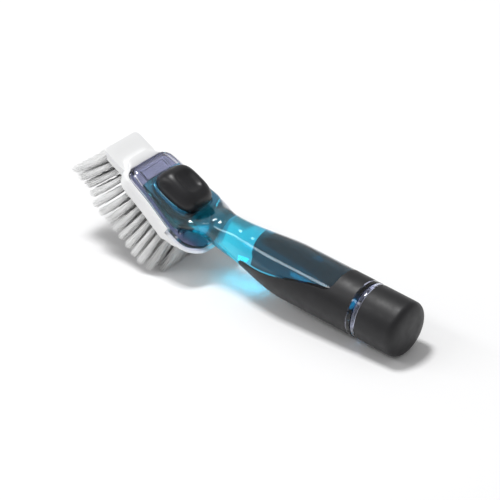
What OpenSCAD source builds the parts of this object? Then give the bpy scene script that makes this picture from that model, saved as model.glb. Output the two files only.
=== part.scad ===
// Dish wand: a dish brush whose clear handle holds washing-up liquid.
// A button on the head opens a valve and lets the liquid out among the bristles.
// Modelling frame: X runs along the handle axis, the head lies towards -X and the
// joint between handle and end cap is at X = 0. The whole is then laid down on
// the rim of its cap and on its rear bristles, with the floor at Z = 0.

/* [Handle] */
// Radius of the grip, the clear rings and the end cap
handle_r = 18.8; // [16:0.1:22]
// Distance from the cap joint to the narrowest part of the neck
neck_at = 111; // [104:1:118]
// Radius of the neck
neck_r = 12.6; // [11:0.1:14]
// How far the neck's centre lies above the handle axis
neck_rise = 3.2; // [2:0.1:4]
// Wall of the clear handle
shell_wall = 2; // [1.6:0.1:2.4]
// Thickness of the soft grip over the clear handle
grip_wall = 2.2; // [1.6:0.1:2.6]
// Width of the clear ring left bare at the end of the handle
ring_w = 3.5; // [2:0.1:5]

/* [Grip window] */
// Distance from the cap joint to the rear edge of the window
window_rear = 19.5; // [14:0.5:28]
// Distance from the cap joint to the front edge of the grip's underside
grip_front = 87; // [84:0.5:91]
// How far the side tongues reach past that front edge
tongue_len = 6; // [4:0.5:7]
// Height of the window's side edge at its rear corner, above the handle axis
window_side_z = 11; // [9:0.5:13]
// Drop of that edge between the rear corner and the tongues
window_drop = 10.5; // [8:0.5:12]
// Radius of the window's rear corners, seen from the side
window_corner_r = 6; // [3:0.5:7]

/* [Mouth and end cap] */
// Length of the threaded spout inside the cap
spout_len = 12; // [9:0.5:15]
// Outer radius of the spout
spout_r = 15; // [14:0.1:15.4]
// Wall of the spout
spout_wall = 2; // [1.5:0.1:2.5]
// Length of the end cap, its clear ring included
cap_len = 33.2; // [30:0.1:44]
// Width of the clear ring on the cap
cap_ring_w = 3.1; // [2:0.1:5]
// Rounding of the cap's end
cap_round = 7.5; // [4:0.5:9]
// Wall of the clear cup inside the cap
liner_wall = 1.5; // [1:0.1:1.7]
// Thickness of the washer that seals the mouth
seal_t = 1.6; // [1:0.1:2.5]
// Lead of the mouth thread, per turn
thread_lead = 3; // [2:0.5:5]
// Turns that free the cap
thread_turns = 2; // [1:0.5:3]

/* [Head] */
// Distance from the cap joint to the clear head's front edge, along the handle
head_reach = 184.4; // [180:0.5:188]
// Height of that front edge above the handle axis
head_rise = 25.9; // [23:0.5:28]
// Angle between the handle and the head
head_bend = 25.5; // [23:0.5:28]
// Length of the clear head
head_len = 70; // [66:1:74]
// Half of the clear head's greatest width
head_half_w = 25.6; // [24:0.2:28]
// Thickness of the clear head's flange
flange_t = 2.2; // [1.6:0.1:3]
// How far the dome over the soap stands in from the flange
dome_inset = 2.6; // [1.5:0.1:4]
// Height of the dome at the button's front, above the flange
dome_front_h = 5.6; // [5:0.1:7]
// Height of the dome at the button's rear, above the flange
dome_rear_h = 9; // [8:0.1:10]
// Thickness of the plate that closes the head's underside
base_t = 2; // [1.5:0.1:3]
// Width of the catch pocket in the plate
pocket_w = 20; // [16:0.5:21]
// Length of the catch pocket
pocket_len = 7; // [5:0.5:7.5]

/* [Button and valve] */
// Distance of the valve axis behind the clear head's front edge
valve_u = 32.5; // [31:0.5:34]
// Half of the button's length
button_half_len = 17.4; // [15:0.1:17.8]
// Half of the button's width
button_half_w = 14.2; // [12:0.1:15]
// Height of the button's crown above the flange
button_top = 17.1; // [16.4:0.1:18.4]
// Depth of the thumb dish
dish_depth = 1.7; // [1:0.1:2.4]
// Travel of the button
button_travel = 2.4; // [1.5:0.1:2.6]
// Thickness of the button's soft skin
skin_t = 1.8; // [1.2:0.1:2.2]
// Radius of the valve stem
stem_r = 1.8; // [1.4:0.1:2.2]
// Radius of the valve plug
plug_r = 4.6; // [4:0.1:5]
// Thickness of the valve plug
plug_t = 2; // [1.5:0.1:2.4]
// Radius of the opening in the valve seat
seat_hole_r = 3.1; // [2.8:0.1:3.5]
// Wire radius of the return spring
spring_wire_r = 0.45; // [0.3:0.05:0.45]
// Coil radius of the return spring
spring_r = 3.9; // [3.6:0.1:4.1]
// Turns of the return spring
spring_turns = 4.5; // [3:0.5:4.5]

/* [Brush block] */
// Wall of the block around the clear head
rim_wall = 2.6; // [2:0.1:3.5]
// Depth from the flange's top to the block's underside
block_depth = 9.6; // [9:0.1:11]
// How far the scraper lip stands out in front of the clear head
lip_len = 22.8; // [18:0.2:26]
// Half of the scraper lip's width
lip_half_w = 16; // [14:0.2:18]
// Depth of the lip's top face below the rim
lip_drop = 3.9; // [3:0.1:4.2]
// Thickness of the lip at its front edge
lip_t = 2.4; // [1.6:0.1:3]
// How far the rear of the rim is cut down
rim_notch = 3.1; // [2:0.1:3.4]
// Radius of the outlet in the block
outlet_r = 3.2; // [2.5:0.1:3.6]
// Width of the release tab at its pin
tab_w = 13; // [9:0.5:16]
// Depth of the release tab's tip below the flange
tab_depth = 14; // [12:0.5:15]
// Swing of the release tab, in degrees
tab_swing = 12; // [6:1:15]
// How far the block draws off the head
release_travel = 25; // [15:1:40]

/* [Bristles] */
// Height of the bristles below the block
bristle_h = 28; // [22:0.5:32]
// Spacing of the tufts along the block
tuft_pitch = 5.3; // [5:0.1:7]
// Strands in a tuft
tuft_strands = 4; // [3:1:4]
// Radius of a strand
strand_r = 0.42; // [0.3:0.01:0.5]
// Forward lean of the front tufts, in degrees
front_lean = 33; // [20:1:38]
// Backward lean of the rear tufts, in degrees
rear_lean = 2; // [0:1:8]
// Outward lean of the side tufts, in degrees
side_lean = 9; // [4:1:12]
// Spread of a tuft's strands at their tips
tuft_spread = 1.25; // [0.9:0.05:1.4]

/* [Clearances] */
// Gap between pieces that move apart
part_gap = 0.3; // [0.2:0.05:0.4]
// Running clearance of shafts and pins
run_gap = 0.05; // [0.02:0.01:0.1]

/* [Hidden] */
$fn = 64;

// Smooth step from 0 to 1
function ease(t) = let (c = min(1, max(0, t))) c * c * (3 - 2 * c);
function mix(a, b, t) = a + (b - a) * t;
function along(t, keys, i = 0) =
    i >= len(keys) - 2 || t < keys[i + 1][0]
    ? let (f = min(1, max(0, (t - keys[i][0]) / (keys[i + 1][0] - keys[i][0]))))
        mix(keys[i][1], keys[i + 1][1], f)
    : along(t, keys, i + 1);

// Handle profile, with d the distance from the cap joint
taper_from = neck_at - 54;
rise_from = neck_at - 50;
function handle_radius(d) = mix(handle_r, neck_r, ease((d - taper_from) / (neck_at - taper_from)));
function handle_centre(d) = neck_rise * ease((d - rise_from) / (neck_at + 6 - rise_from));

// Plan of the clear head: half widths as shares of the greatest, over its length
PLAN = [[0, 0.54], [0.012, 0.62], [0.03, 0.70], [0.07, 0.775], [0.14, 0.81], [0.24, 0.83],
    [0.34, 0.852], [0.44, 0.89], [0.54, 0.93], [0.64, 0.97], [0.73, 0.992], [0.80, 0.99],
    [0.86, 0.96], [0.91, 0.89], [0.95, 0.78], [0.98, 0.65], [1, 0.53]];
function plan_half(u) = head_half_w * along(u / head_len, PLAN);
plan_u = [for (k = PLAN) k[0] * head_len];
head_side = [for (u = plan_u) [u, plan_half(u)]];

// Closed outline from one side's points, mirrored about the centre line
function both_sides(side) = concat(side,
    [for (i = [len(side) - 1 : -1 : 0]) let (p = side[i])
        len(p) == 3 ? [p[0], -p[1], p[2]] : [p[0], -p[1]]]);
function unit2(v) = v / max(norm(v), 0.0001);
function edge_normal(p, q) = let (d = unit2(q - p)) [-d[1], d[0]];
// The outline moved outwards by a distance, along the mean of its edge normals
function grown(pts, by) = let (n = len(pts)) [for (i = [0 : n - 1])
    let (a = edge_normal(pts[(i + n - 1) % n], pts[i]),
         b = edge_normal(pts[i], pts[(i + 1) % n]),
         m = unit2(a + b))
    pts[i] + m * by / max(0.6, m * a)];
head_plan = both_sides(head_side);

// Plan of the brush block: the lip in front, then a rim round the clear head
LIP = [[1, 0.80], [0.985, 0.88], [0.95, 0.94], [0.88, 0.99], [0.7, 1.02], [0.5, 1.05],
    [0.3, 1.1], [0.15, 1.17]];
rim_from = 3;
rim_last = len(head_side) - 1;
rim_plan = grown(head_plan, rim_wall);
socket_plan = grown(head_plan, part_gap);
block_outer = concat([for (k = LIP) [-lip_len * k[0], lip_half_w * k[1]]],
    [for (i = [rim_from : rim_last]) rim_plan[i]]);
front_bow = 0.2;
block_inner = concat([for (k = [0 : len(LIP) - rim_from - 1])
        let (share = (k + 0.6) / (len(LIP) - rim_from + 0.2))
        [socket_plan[0][0] - front_bow * (1 - share * share), socket_plan[0][1] * share]],
    [for (i = [0 : rim_last]) socket_plan[i]]);
block_end_u = block_outer[len(block_outer) - 1][0];

// Underside of the block: drawn in below the lip and at the rear
lip_under = 3.5;
rear_from = head_len - 24;
rear_share = 0.52;
rear_narrow = 0.3;
function under(p) = let (u = p[0])
    [u < 0 ? u + lip_under * ease(-u / lip_len)
        : u > rear_from ? rear_from + rear_share * (u - rear_from) : u,
     p[1] * (1 - rear_narrow * ease((u - rear_from) / 24))];
block_low = [for (p = block_outer) under(p)];
low_end_u = block_low[len(block_low) - 1][0];

// Heights in the head frame, with w = 0 at the top of the flange
base_bottom = -flange_t - base_t;
deck_w = base_bottom - part_gap;
block_bottom = -block_depth;
backing_t = 1.2;
slice_top = block_bottom + backing_t;
rim_top = -1;
seat_bottom = -0.4;
seat_t = 1.8;
seat_r = plug_r + 2.6;
plug_room_r = plug_r + 0.7;
plug_top = seat_bottom - run_gap;
clip_t = 1.4;
stem_bottom = plug_top - plug_t - clip_t;
inlet_floor = stem_bottom - button_travel - part_gap;
moat_floor = dome_front_h - button_travel - 0.4 - part_gap;
skirt_bottom = moat_floor + button_travel + part_gap;
boss_top = dome_top(valve_u);
boss_plate = 1.8;
core_top = button_top - dish_depth - skin_t - 0.4;
core_t = 1.6;
core_bottom = boss_top + button_travel + part_gap;
spring_len = 7.2;
spring_top = core_top - core_t;
spring_bottom = spring_top - spring_len;
guide_floor_t = 1.2;
guide_top = boss_top + 1.5;
guide_r = spring_r + spring_wire_r + 0.5;
guide_wall = 1;
seal_h = 1.2;

// Height of the dome over the soap
function dome_top(u) = u < valve_u - 17
    ? mix(1.4, dome_front_h, sqrt(max(0, u) / (valve_u - 17)))
    : u < valve_u + 17.5
    ? mix(dome_front_h, dome_rear_h, (u - valve_u + 17) / 34.5)
    : mix(dome_rear_h, neck_top_w, ease((u - valve_u - 17.5) / (loft_u - valve_u - 17.5)));
loft_u = head_len - 4;
neck_top_w = 19.5;

// Pose of the head, and the rest pose of the whole
module at_head() {
    translate([-head_reach, 0, head_rise])
        rotate([0, head_bend, 0])
            children();
}
function head_point(u, w) = [-head_reach + u * cos(head_bend) + w * sin(head_bend),
    head_rise - u * sin(head_bend) + w * cos(head_bend)];

// Tufts: rows across the block, stations along it
ROWS = [1, 0.74, 0.47, 0.19];
tuft_front_u = -lip_len + 4.9;
tuft_rear_u = low_end_u - 3.9;
tuft_count = floor((tuft_rear_u - tuft_front_u) / tuft_pitch);
front_count = 5;
function block_half(u) = along(u, block_low);
root_spread = 0.75;
edge_inset = 2.4;
function tuft_u(i) = tuft_front_u + i * (tuft_rear_u - tuft_front_u) / tuft_count;
function tuft_y(i, row) = (block_half(tuft_u(i)) - edge_inset) * ROWS[row];
function tuft_lean(i) = mix(-front_lean, rear_lean, ease(0.08 + 0.92 * i / tuft_count));
function noise(i, j) = let (s = sin(i * 127.1 + j * 311.7) * 43.758) s - floor(s) - 0.5;
function strand_angle(i, row, k) = 360 * (k + 0.15 * noise(i, row + 7)) / tuft_strands;
function strand_root(i, row, k) = let (a = strand_angle(i, row, k))
    [tuft_u(i) + root_spread * cos(a), tuft_y(i, row) + root_spread * sin(a),
     block_bottom + backing_t / 2];
function strand_tip(i, row, k) =
    let (a = strand_angle(i, row, k),
         h = bristle_h - 0.5 + noise(i * 3 + k, row) - 0.5 * (3 - row) / 3)
    [tuft_u(i) + h * tan(tuft_lean(i)) + tuft_spread * cos(a),
     tuft_y(i, row) + h * tan(side_lean * ROWS[row]) + tuft_spread * sin(a),
     block_bottom - h];
function has_tuft(i, row) =
    norm([tuft_u(i) - valve_u, tuft_y(i, row)]) > outlet_r + 3.6;
tips = [for (i = [0 : tuft_count], row = [0 : 3], k = [0 : tuft_strands - 1])
    if (has_tuft(i, row)) strand_tip(i, row, k)];

// Rest pose: the cap's rounded rim and the lowest bristle tip touch the floor
rim_x = cap_len - cap_round;
rim_z = -(handle_r - cap_round);
function tilt_for(p) = let (q = head_point(p[0], p[2]), dx = rim_x - q[0], dz = rim_z - q[1])
    atan2(dz, dx) - asin(cap_round / norm([dx, dz]));
rest_tilt = max([for (p = tips) tilt_for(p)]);
rest_lift = rim_x * sin(rest_tilt) - rim_z * cos(rest_tilt) + cap_round;
function rest_x(q) = q[0] * cos(rest_tilt) + q[1] * sin(rest_tilt);
function rest_z(q) = -q[0] * sin(rest_tilt) + q[1] * cos(rest_tilt) + rest_lift;
x_max = rest_x([rim_x, -rim_z]) + cap_round;
x_min = min([for (p = tips) rest_x(head_point(p[0], p[2]))]) - strand_r;
rest_shift = -(x_max + x_min) / 2;
module at_rest() {
    translate([rest_shift, 0, rest_lift])
        rotate([0, rest_tilt, 0])
            children();
}
function placed(q) = [rest_x(q) + rest_shift, 0, rest_z(q)];

// Lofted solid through rings that all have the same number of points
module loft(rings) {
    n = len(rings[0]);
    m = len(rings);
    points = [for (ring = rings, p = ring) p];
    sides = [for (j = [0 : m - 2], i = [0 : n - 1])
        let (a = j * n + i, b = j * n + (i + 1) % n)
        each [[a, a + n, b], [b, a + n, b + n]]];
    first = [for (i = [0 : n - 1]) i];
    last = [for (i = [n - 1 : -1 : 0]) (m - 1) * n + i];
    polyhedron(points = points, faces = concat(sides, [first, last]), convexity = 8);
}

// Cross section of the clear body: a superellipse about its centre
SIDES = 36;
function power(v, e) = (v < 0 ? -1 : 1) * pow(abs(v), e);
function section(half_w, up, down, n) = [for (i = [0 : SIDES - 1])
    let (a = -360 * i / SIDES, c = power(cos(a), 2 / n), s = power(sin(a), 2 / n))
    [half_w * c, s > 0 ? up * s : down * s]];
// A section stood up in the handle frame, at a spine point and tilt
function stood(pts, x, z, tilt) = [for (p = pts)
    [x + p[1] * sin(tilt), p[0], z + p[1] * cos(tilt)]];

handle_d = [for (t = [0 : 6]) taper_from + (neck_at - 8 - taper_from) * t / 6];
blend_t = [0.25, 0.5, 0.75];
head_u = [for (t = [loft_u, loft_u - 3, loft_u - 6, loft_u - 9, loft_u - 12, loft_u - 15.5,
    loft_u - 20, 38, 30, 22, 15.5, 10, 6, 3.2, 1.4]) t];
function dome_half(u) = mix(plan_half(min(u, head_len - 12)) - dome_inset * ease(u / 5 + 0.35),
    neck_r + 0.6, ease((u - head_len + 24) / 20));
function spine_w(u) = mix(0, neck_top_w / 2 - 1, ease((u - head_len + 22) / 18));
function handle_ring(d, inset) = stood(
    section(handle_radius(d) - inset, handle_radius(d) - inset, handle_radius(d) - inset, 2),
    -d, handle_centre(d), 0);
function head_ring(u, inset, floor_w) =
    let (c = head_point(u, spine_w(u)), up = dome_top(u) - spine_w(u) - inset,
         down = spine_w(u) - floor_w)
    stood(section(dome_half(u) - inset, up, down,
        mix(2.8, 2.1, ease((u - head_len + 26) / 20))), c[0], c[1], head_bend);
function blend_ring(t, inset, floor_w) =
    let (a = handle_ring(neck_at - 8, inset), b = head_ring(loft_u, inset, floor_w),
         ta = [-1, 0, 0.03] * 6, tb = [cos(head_bend), 0, -sin(head_bend)] * 6,
         h = t * t * (3 - 2 * t))
    [for (i = [0 : SIDES - 1])
        a[i] * (1 - h) + b[i] * h + ta * (t * (1 - t) * (1 - t)) + tb * (t * t * (t - 1)) * -1];

// Rings of the clear body from its mouth to the head's front, with more wall under the grip
more_from = grip_front;
function body_rings(from_d, inset, floor_w, stop_u, more = 0) = concat(
    [handle_ring(from_d, inset + more)],
    [for (d = handle_d) if (d > from_d) handle_ring(d, inset + more * (1 - ease((d - more_from) / 15)))],
    [for (t = blend_t) blend_ring(t, inset, floor_w)],
    [for (u = head_u) if (u >= stop_u) head_ring(u, inset, floor_w)]);

// Side view of the grip's window: everything above this line is left clear
function window_line() =
    let (r = window_corner_r, top = handle_r + 6, n = 6,
         z0 = window_side_z, x0 = -window_rear)
    concat([[x0, top]],
        [for (i = [0 : n]) let (a = 90 * i / n)
            [x0 - r * (1 - cos(a)) - (i == 0 ? 0 : 0.2 * i), z0 + r * (1 - sin(a)) ]],
        [for (t = [0.25, 0.5, 0.75, 1])
            [mix(x0 - r - 1.2, -grip_front - tongue_len + 7, t), z0 - window_drop * ease(0.1 + 0.9 * t)
                + window_drop * ease(0.1)]]);
tongue_z = window_side_z - window_drop;
module grip_region() {
    tip_x = -grip_front - tongue_len;
    rear = -ring_w;
    line = window_line();
    nose_r = 4.6;
    nose = [for (i = [1 : 7]) let (a = 90 + 22.5 * i)
        [tip_x + nose_r + 1.2 * nose_r * cos(a), tongue_z - nose_r + nose_r * sin(a)]];
    rotate([90, 0, 0])
        linear_extrude(height = 3 * handle_r, center = true)
            polygon(concat([[rear, handle_r + 6]], line, nose,
                [[-grip_front - 1, -handle_r * 0.62], [-grip_front, -handle_r - 6],
                 [rear, -handle_r - 6]]));
}

// Straight prism over a plan in the head frame
module plan_prism(pts, w0, w1) {
    translate([0, 0, w0])
        linear_extrude(height = w1 - w0)
            polygon(pts);
}
// Rings over a plan, from the top down: each entry gives an inward offset and a height
function plan_rings(pts, steps) = [for (s = steps) [for (p = grown(pts, -s[0])) [p[0], p[1], s[1]]]];
// Plate over a plan with its upper edge rounded off
module rounded_plate(pts, w0, w1, r) {
    loft(plan_rings(pts, [[r, w1], [0.3 * r, w1 - 0.3 * r], [0, w1 - r], [0, w0]]));
}
edge_round = 0.9;
opening_inset = dome_inset + shell_wall - 0.4;
opening_rear = head_len - 15;
opening_plan = [for (p = grown(head_plan, -opening_inset)) [min(p[0], opening_rear), p[1]]];
BUTTON_SIDES = 40;
function button_plan(s, margin = 0) = [for (i = [0 : BUTTON_SIDES - 1])
    let (a = -360 * i / BUTTON_SIDES)
    [valve_u + (button_half_len * s + margin) * power(cos(a), button_square),
     (button_half_w * s + margin) * power(sin(a), button_square)]];
button_square = 0.6;
module at_valve(w = 0) {
    at_head()
        translate([valve_u, 0, w])
            children();
}

// Chamber for the soap: narrower under the grip, and with the button's moat left out
chamber_floor = -0.1;
module chamber(gap, from_d, stop_u) {
    difference() {
        loft(body_rings(from_d, shell_wall + gap, chamber_floor + gap, stop_u, grip_wall));
        at_head()
            plan_prism(button_plan(1, moat_wall + gap), moat_floor - moat_wall - gap, head_len);
    }
    at_head()
        plan_prism(button_plan(1, -skin_t - 2 - gap), moat_floor - moat_wall - gap - 0.5,
            boss_top - boss_plate - gap);
}
moat_wall = 1.5;

module handle_shell() {
    color("lightskyblue", 0.35)
        at_rest()
            difference() {
                union() {
                    loft(body_rings(0, 0, -flange_t, 1));
                    at_head()
                        rounded_plate(head_plan, -flange_t, 0, edge_round);
                    rotate([0, 90, 0])
                        cylinder(r = spout_r, h = spout_len);
                }
                difference() {
                    grip_region();
                    loft(body_rings(0, grip_wall, -flange_t, 60));
                }
                chamber(0, ring_w + 6, shell_wall + 1);
                at_head() {
                    difference() {
                        plan_prism(button_plan(1, part_gap + 0.1), moat_floor, head_len);
                        plan_prism(button_plan(1, -skin_t - 0.6), moat_floor - 1, boss_top);
                    }
                    plan_prism(opening_plan, -flange_t - 1, 0);
                }
                at_valve(boss_top - boss_plate - 1)
                    cylinder(r = guide_r + guide_wall, h = boss_plate + 3);
                rotate([0, 90, 0])
                    translate([0, 0, -ring_w - 8])
                        cylinder(r = spout_r - spout_wall, h = spout_len + ring_w + 9);
            }
}

// Clear plate welded under the head, with the catch pocket and the valve's well
pocket_u = opening_inset + 1.6;
pocket_wall = 1.2;
pocket_top = 0.8;
module pocket_box(wall, top) {
    translate([pocket_u - wall, -pocket_w / 2 - wall, base_bottom - (wall > 0 ? 0 : 1)])
        cube([pocket_len + 2 * wall, pocket_w + 2 * wall, top - base_bottom + (wall > 0 ? 0 : 1)]);
}
module head_base() {
    color("lightcyan", 0.45)
        at_rest()
            difference() {
                at_head() {
                    plan_prism(grown(head_plan, -1.2), base_bottom, -flange_t);
                    plan_prism(grown(opening_plan, -run_gap), base_bottom + 1, chamber_floor - 0.2);
                    pocket_box(pocket_wall, pocket_top);
                }
                at_head()
                    pocket_box(0, pocket_top - pocket_wall);
                at_valve(base_bottom - 1)
                    cylinder(r = plug_room_r, h = base_t + flange_t + 2);
                at_valve(seat_bottom)
                    cylinder(r = seat_r, h = seat_t);
            }
}

module grip_sleeve() {
    color("dimgray")
        at_rest()
            intersection() {
                grip_region();
                difference() {
                    loft(body_rings(0, 0, 0, loft_u));
                    loft(body_rings(-1, grip_wall, 1, loft_u - 1));
                }
            }
}

soap_gap = 0.12;
soap_from = 12;
soap_to_u = 14;
module soap_fill() {
    color("deepskyblue", 0.7)
        at_rest()
            difference() {
                chamber(soap_gap, soap_from, soap_to_u);
                at_valve(-flange_t)
                    cylinder(r = seat_r + 1, h = head_len);
            }
}

module ring(r0, r1, h) {
    difference() {
        cylinder(r = r1, h = h);
        translate([0, 0, -1])
            cylinder(r = r0, h = h + 2);
    }
}
module valve_seat() {
    color("darkslategray")
        at_rest()
            at_valve(seat_bottom)
                ring(seat_hole_r, seat_r, seat_t);
}
module button_guide() {
    color("gainsboro")
        at_rest()
            difference() {
                union() {
                    at_valve(spring_bottom - guide_floor_t)
                        cylinder(r = guide_r + guide_wall, h = guide_top - spring_bottom + guide_floor_t);
                    at_valve(boss_top)
                        cylinder(r = guide_r + 2.6, h = 1);
                }
                at_valve(spring_bottom)
                    cylinder(r = guide_r, h = head_len);
                at_valve(spring_bottom - guide_floor_t - 1)
                    cylinder(r = stem_r + run_gap, h = head_len);
            }
}
module stem_seal() {
    color("black")
        at_rest()
            at_valve(spring_bottom - guide_floor_t - seal_h)
                ring(stem_r + run_gap, guide_r, seal_h);
}

// Button: each ring has a share of the plan, a share of the side's drop and a dish depth
crown_w = button_top - 0.1;
side_w = skirt_bottom + 2.8;
crown_slope = 0.03;
side_slope = 0.12;
BUTTON = [[0.08, 0, 1], [0.22, 0, 0.94], [0.36, 0, 0.62], [0.46, 0, 0.16], [0.53, 0.01, 0],
    [0.64, 0.08, 0], [0.76, 0.22, 0], [0.87, 0.45, 0], [0.945, 0.66, 0], [0.985, 0.84, 0], [1, 1, 0]];
CORE = [[0.6, 0, 0], [0.74, 0.05, 0], [0.86, 0.25, 0], [0.94, 0.5, 0], [0.985, 0.8, 0], [1, 1, 0]];
function button_rings(table, inset, top, end_w) = concat(
    [for (b = table) [for (p = button_plan(b[0], -inset))
        [p[0], p[1], mix(top, side_w, b[1]) - dish_depth * b[2]
            + mix(crown_slope, side_slope, b[1]) * (p[0] - valve_u)]]],
    [[for (p = button_plan(1, -inset)) [p[0], p[1], end_w]]]);
module button_skin() {
    color("dimgray")
        at_rest()
            at_head()
                difference() {
                    loft(button_rings(BUTTON, 0, crown_w, skirt_bottom));
                    loft(button_rings(CORE, skin_t, core_top, skirt_bottom - 1));
                }
}
module button_core() {
    color("silver")
        at_rest()
            difference() {
                at_head()
                    loft(button_rings(CORE, skin_t, core_top, core_bottom));
                difference() {
                    at_head()
                        plan_prism(button_plan(0.86, -skin_t - core_t), core_bottom - 1, spring_top);
                    at_valve(spring_top - 3.4)
                        cylinder(r = stem_r + 1.1, h = head_len);
                }
                at_valve(core_bottom - 4)
                    cylinder(r = stem_r, h = spring_top - core_bottom + 4.8);
            }
}
module valve_stem() {
    color("silver")
        at_rest()
            at_valve(stem_bottom)
                cylinder(r = stem_r, h = spring_top + 0.8 - stem_bottom);
}
module valve_plug() {
    color("darkslategray")
        at_rest()
            at_valve(plug_top - plug_t)
                ring(stem_r, plug_r, plug_t);
}
module stem_clip() {
    color("silver")
        at_rest()
            at_valve(stem_bottom)
                ring(stem_r, stem_r + 1.2, clip_t);
}

// Return spring: one wire along a helix, each end straight for one wire diameter
COIL_STEPS = 8;
WIRE_SIDES = 6;
spring_rise = spring_len - 2 * spring_wire_r;
function coil_point(i) = let (a = 360 * i / COIL_STEPS)
    [spring_r * cos(a), spring_r * sin(a), spring_wire_r + spring_rise * i / (COIL_STEPS * spring_turns)];
coil = [for (i = [0 : COIL_STEPS * spring_turns]) coil_point(i)];
coil_last = len(coil) - 1;
function toward(p, q, d) = p + (q - p) * d / norm(q - p);
wire_path = concat([toward(coil[0], coil[0] + (coil[0] - coil[1]), 2 * spring_wire_r)], coil,
    [toward(coil[coil_last], 2 * coil[coil_last] - coil[coil_last - 1], 2 * spring_wire_r)]);
function wire_ring(i) =
    let (n = len(wire_path) - 1, t = wire_path[min(n, i + 1)] - wire_path[max(0, i - 1)],
         p = wire_path[i], e = [p[0], p[1], 0] / norm([p[0], p[1]]),
         f = cross(t / norm(t), e), g = cross(f / norm(f), t / norm(t)))
    [for (k = [0 : WIRE_SIDES - 1]) let (a = 360 * k / WIRE_SIDES)
        p + spring_wire_r * (cos(a) * g + sin(a) * f / norm(f))];
least_gap = min([for (i = [0 : coil_last], j = [0 : coil_last])
    if (j > i + COIL_STEPS / 2) norm(coil[i] - coil[j]) - 2 * spring_wire_r]);
echo(least_spring_gap_mm = least_gap);
module return_spring() {
    color("silver")
        at_rest()
            at_valve(spring_bottom)
                loft([for (i = [0 : len(wire_path) - 1]) wire_ring(i)]);
}

// End cap: turned parts about the handle axis, x0 the start along it
module turned(profile) {
    at_rest()
        rotate([0, 90, 0])
            rotate_extrude()
                polygon([for (p = profile) [p[1], p[0]]]);
}
seal_from = spout_len + part_gap / 2;
web_from = seal_from + seal_t;
web_t = 1.5;
liner_in = spout_r + 0.15;
liner_out = liner_in + liner_wall;
liner_end = cap_len - cap_round;
ring_r = handle_r - 0.2;
module cap_seal() {
    color("white")
        turned([[seal_from, spout_r - spout_wall], [seal_from, spout_r - 0.1],
            [web_from, spout_r - 0.1], [web_from, spout_r - spout_wall]]);
}
module cap_liner() {
    color("lightskyblue", 0.35)
        turned([[part_gap, liner_in], [part_gap, ring_r], [part_gap + cap_ring_w, ring_r],
            [part_gap + cap_ring_w, liner_out], [liner_end, liner_out], [liner_end, liner_in],
            [web_from + web_t, liner_in], [web_from + web_t, 0], [web_from, 0],
            [web_from, liner_in]]);
}
module cap_grip() {
    steps = 6;
    r_in = cap_round - 3;
    cap_r = handle_r - 0.1;
    color("dimgray")
        turned(concat([[part_gap + cap_ring_w, liner_out], [part_gap + cap_ring_w, cap_r]],
            [for (i = [0 : steps]) let (a = 90 * i / steps)
                [liner_end + cap_round * sin(a), cap_r - cap_round * (1 - cos(a))]],
            [[cap_len, 0], [cap_len - 2.4, 0]],
            [for (i = [steps : -1 : 0]) let (a = 90 * i / steps)
                [cap_len - 2.4 - r_in * (1 - sin(a)), liner_in - r_in * (1 - cos(a))]],
            [[liner_end, liner_in], [liner_end, liner_out]]));
}

// Brush block: rings from the socket's floor over the rim and lip to the underside
function lip_part(u) = 1 - ease((u + 7) / 14);
function rear_part(u) = ease((u - head_len + 20) / 18);
function block_ring(lip_t0, lip_w, rim_t, rim_w) = both_sides([for (i = [0 : len(block_outer) - 1])
    let (a = block_inner[i], b = block_outer[i], f = lip_part(b[0]), t = mix(rim_t, lip_t0, f))
    [mix(a[0], b[0], t), mix(a[1], b[1], t), mix(rim_w, lip_w, f)]]);
lip_top = rim_top + 0.1 - lip_drop;
block_rings = [
    block_ring(0, deck_w, 0, deck_w),
    block_ring(0, rim_top, 0, rim_top),
    block_ring(0.26, rim_top - 0.1, 0.2, rim_top),
    block_ring(0.32, rim_top - 0.8, 0.3, rim_top - 0.05),
    block_ring(0.37, mix(rim_top, lip_top, 0.75), 0.38, rim_top - 0.15),
    block_ring(0.44, lip_top, 0.46, rim_top - 0.35),
    block_ring(0.98, lip_top, 0.6, rim_top - 0.8),
    block_ring(1, lip_top - 0.5, 0.96, rim_top - 3.2),
    both_sides([for (i = [0 : len(block_outer) - 1])
        let (a = block_low[i], b = block_outer[i], f = lip_part(b[0]), g = rear_part(b[0]))
        [mix(a[0], b[0], 0.8), mix(a[1], b[1], 0.8),
         mix(mix(slice_top + 0.8, deck_w - 0.9, g), lip_top - lip_t, f)]]),
    both_sides([for (p = block_low) [p[0], p[1], slice_top]])];
pin_u = low_end_u + 0.7;
pin_w = deck_w - 2.1;
pin_r = 1;
tab_hub_r = 1.9;
inlet_r = plug_r + 0.9;
gasket_r = inlet_r + 2.4;
gasket_h = 1.4;
grommet_r = outlet_r + 1.3;
module tab_slot() {
    translate([pin_u - tab_hub_r - part_gap, -tab_w / 2 - part_gap, block_bottom - 10])
        cube([20, tab_w + 2 * part_gap, deck_w - block_bottom + 10.2]);
}
module brush_block() {
    color("white")
        at_rest()
            difference() {
                union() {
                    at_head()
                        loft(block_rings);
                    at_head()
                        translate([pocket_u + part_gap, -pocket_w / 2 + part_gap, deck_w - 1])
                            cube([pocket_len - 2 * part_gap, pocket_w - 2 * part_gap,
                                pocket_top - pocket_wall - part_gap - deck_w + 1]);
                }
                at_head() {
                    translate([rear_from + 1, -head_len / 2, rim_top - rim_notch])
                        cube([head_len, head_len, 10]);
                    tab_slot();
                    translate([pin_u, 0, pin_w])
                        rotate([90, 0, 0])
                            cylinder(r = pin_r, h = tab_w + 6, center = true);
                }
                at_valve(deck_w - gasket_h + 0.25)
                    cylinder(r = gasket_r, h = head_len);
                at_valve(inlet_floor)
                    cylinder(r = inlet_r, h = head_len);
                at_valve(block_bottom - 1)
                    cylinder(r = outlet_r, h = head_len);
            }
}
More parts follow.
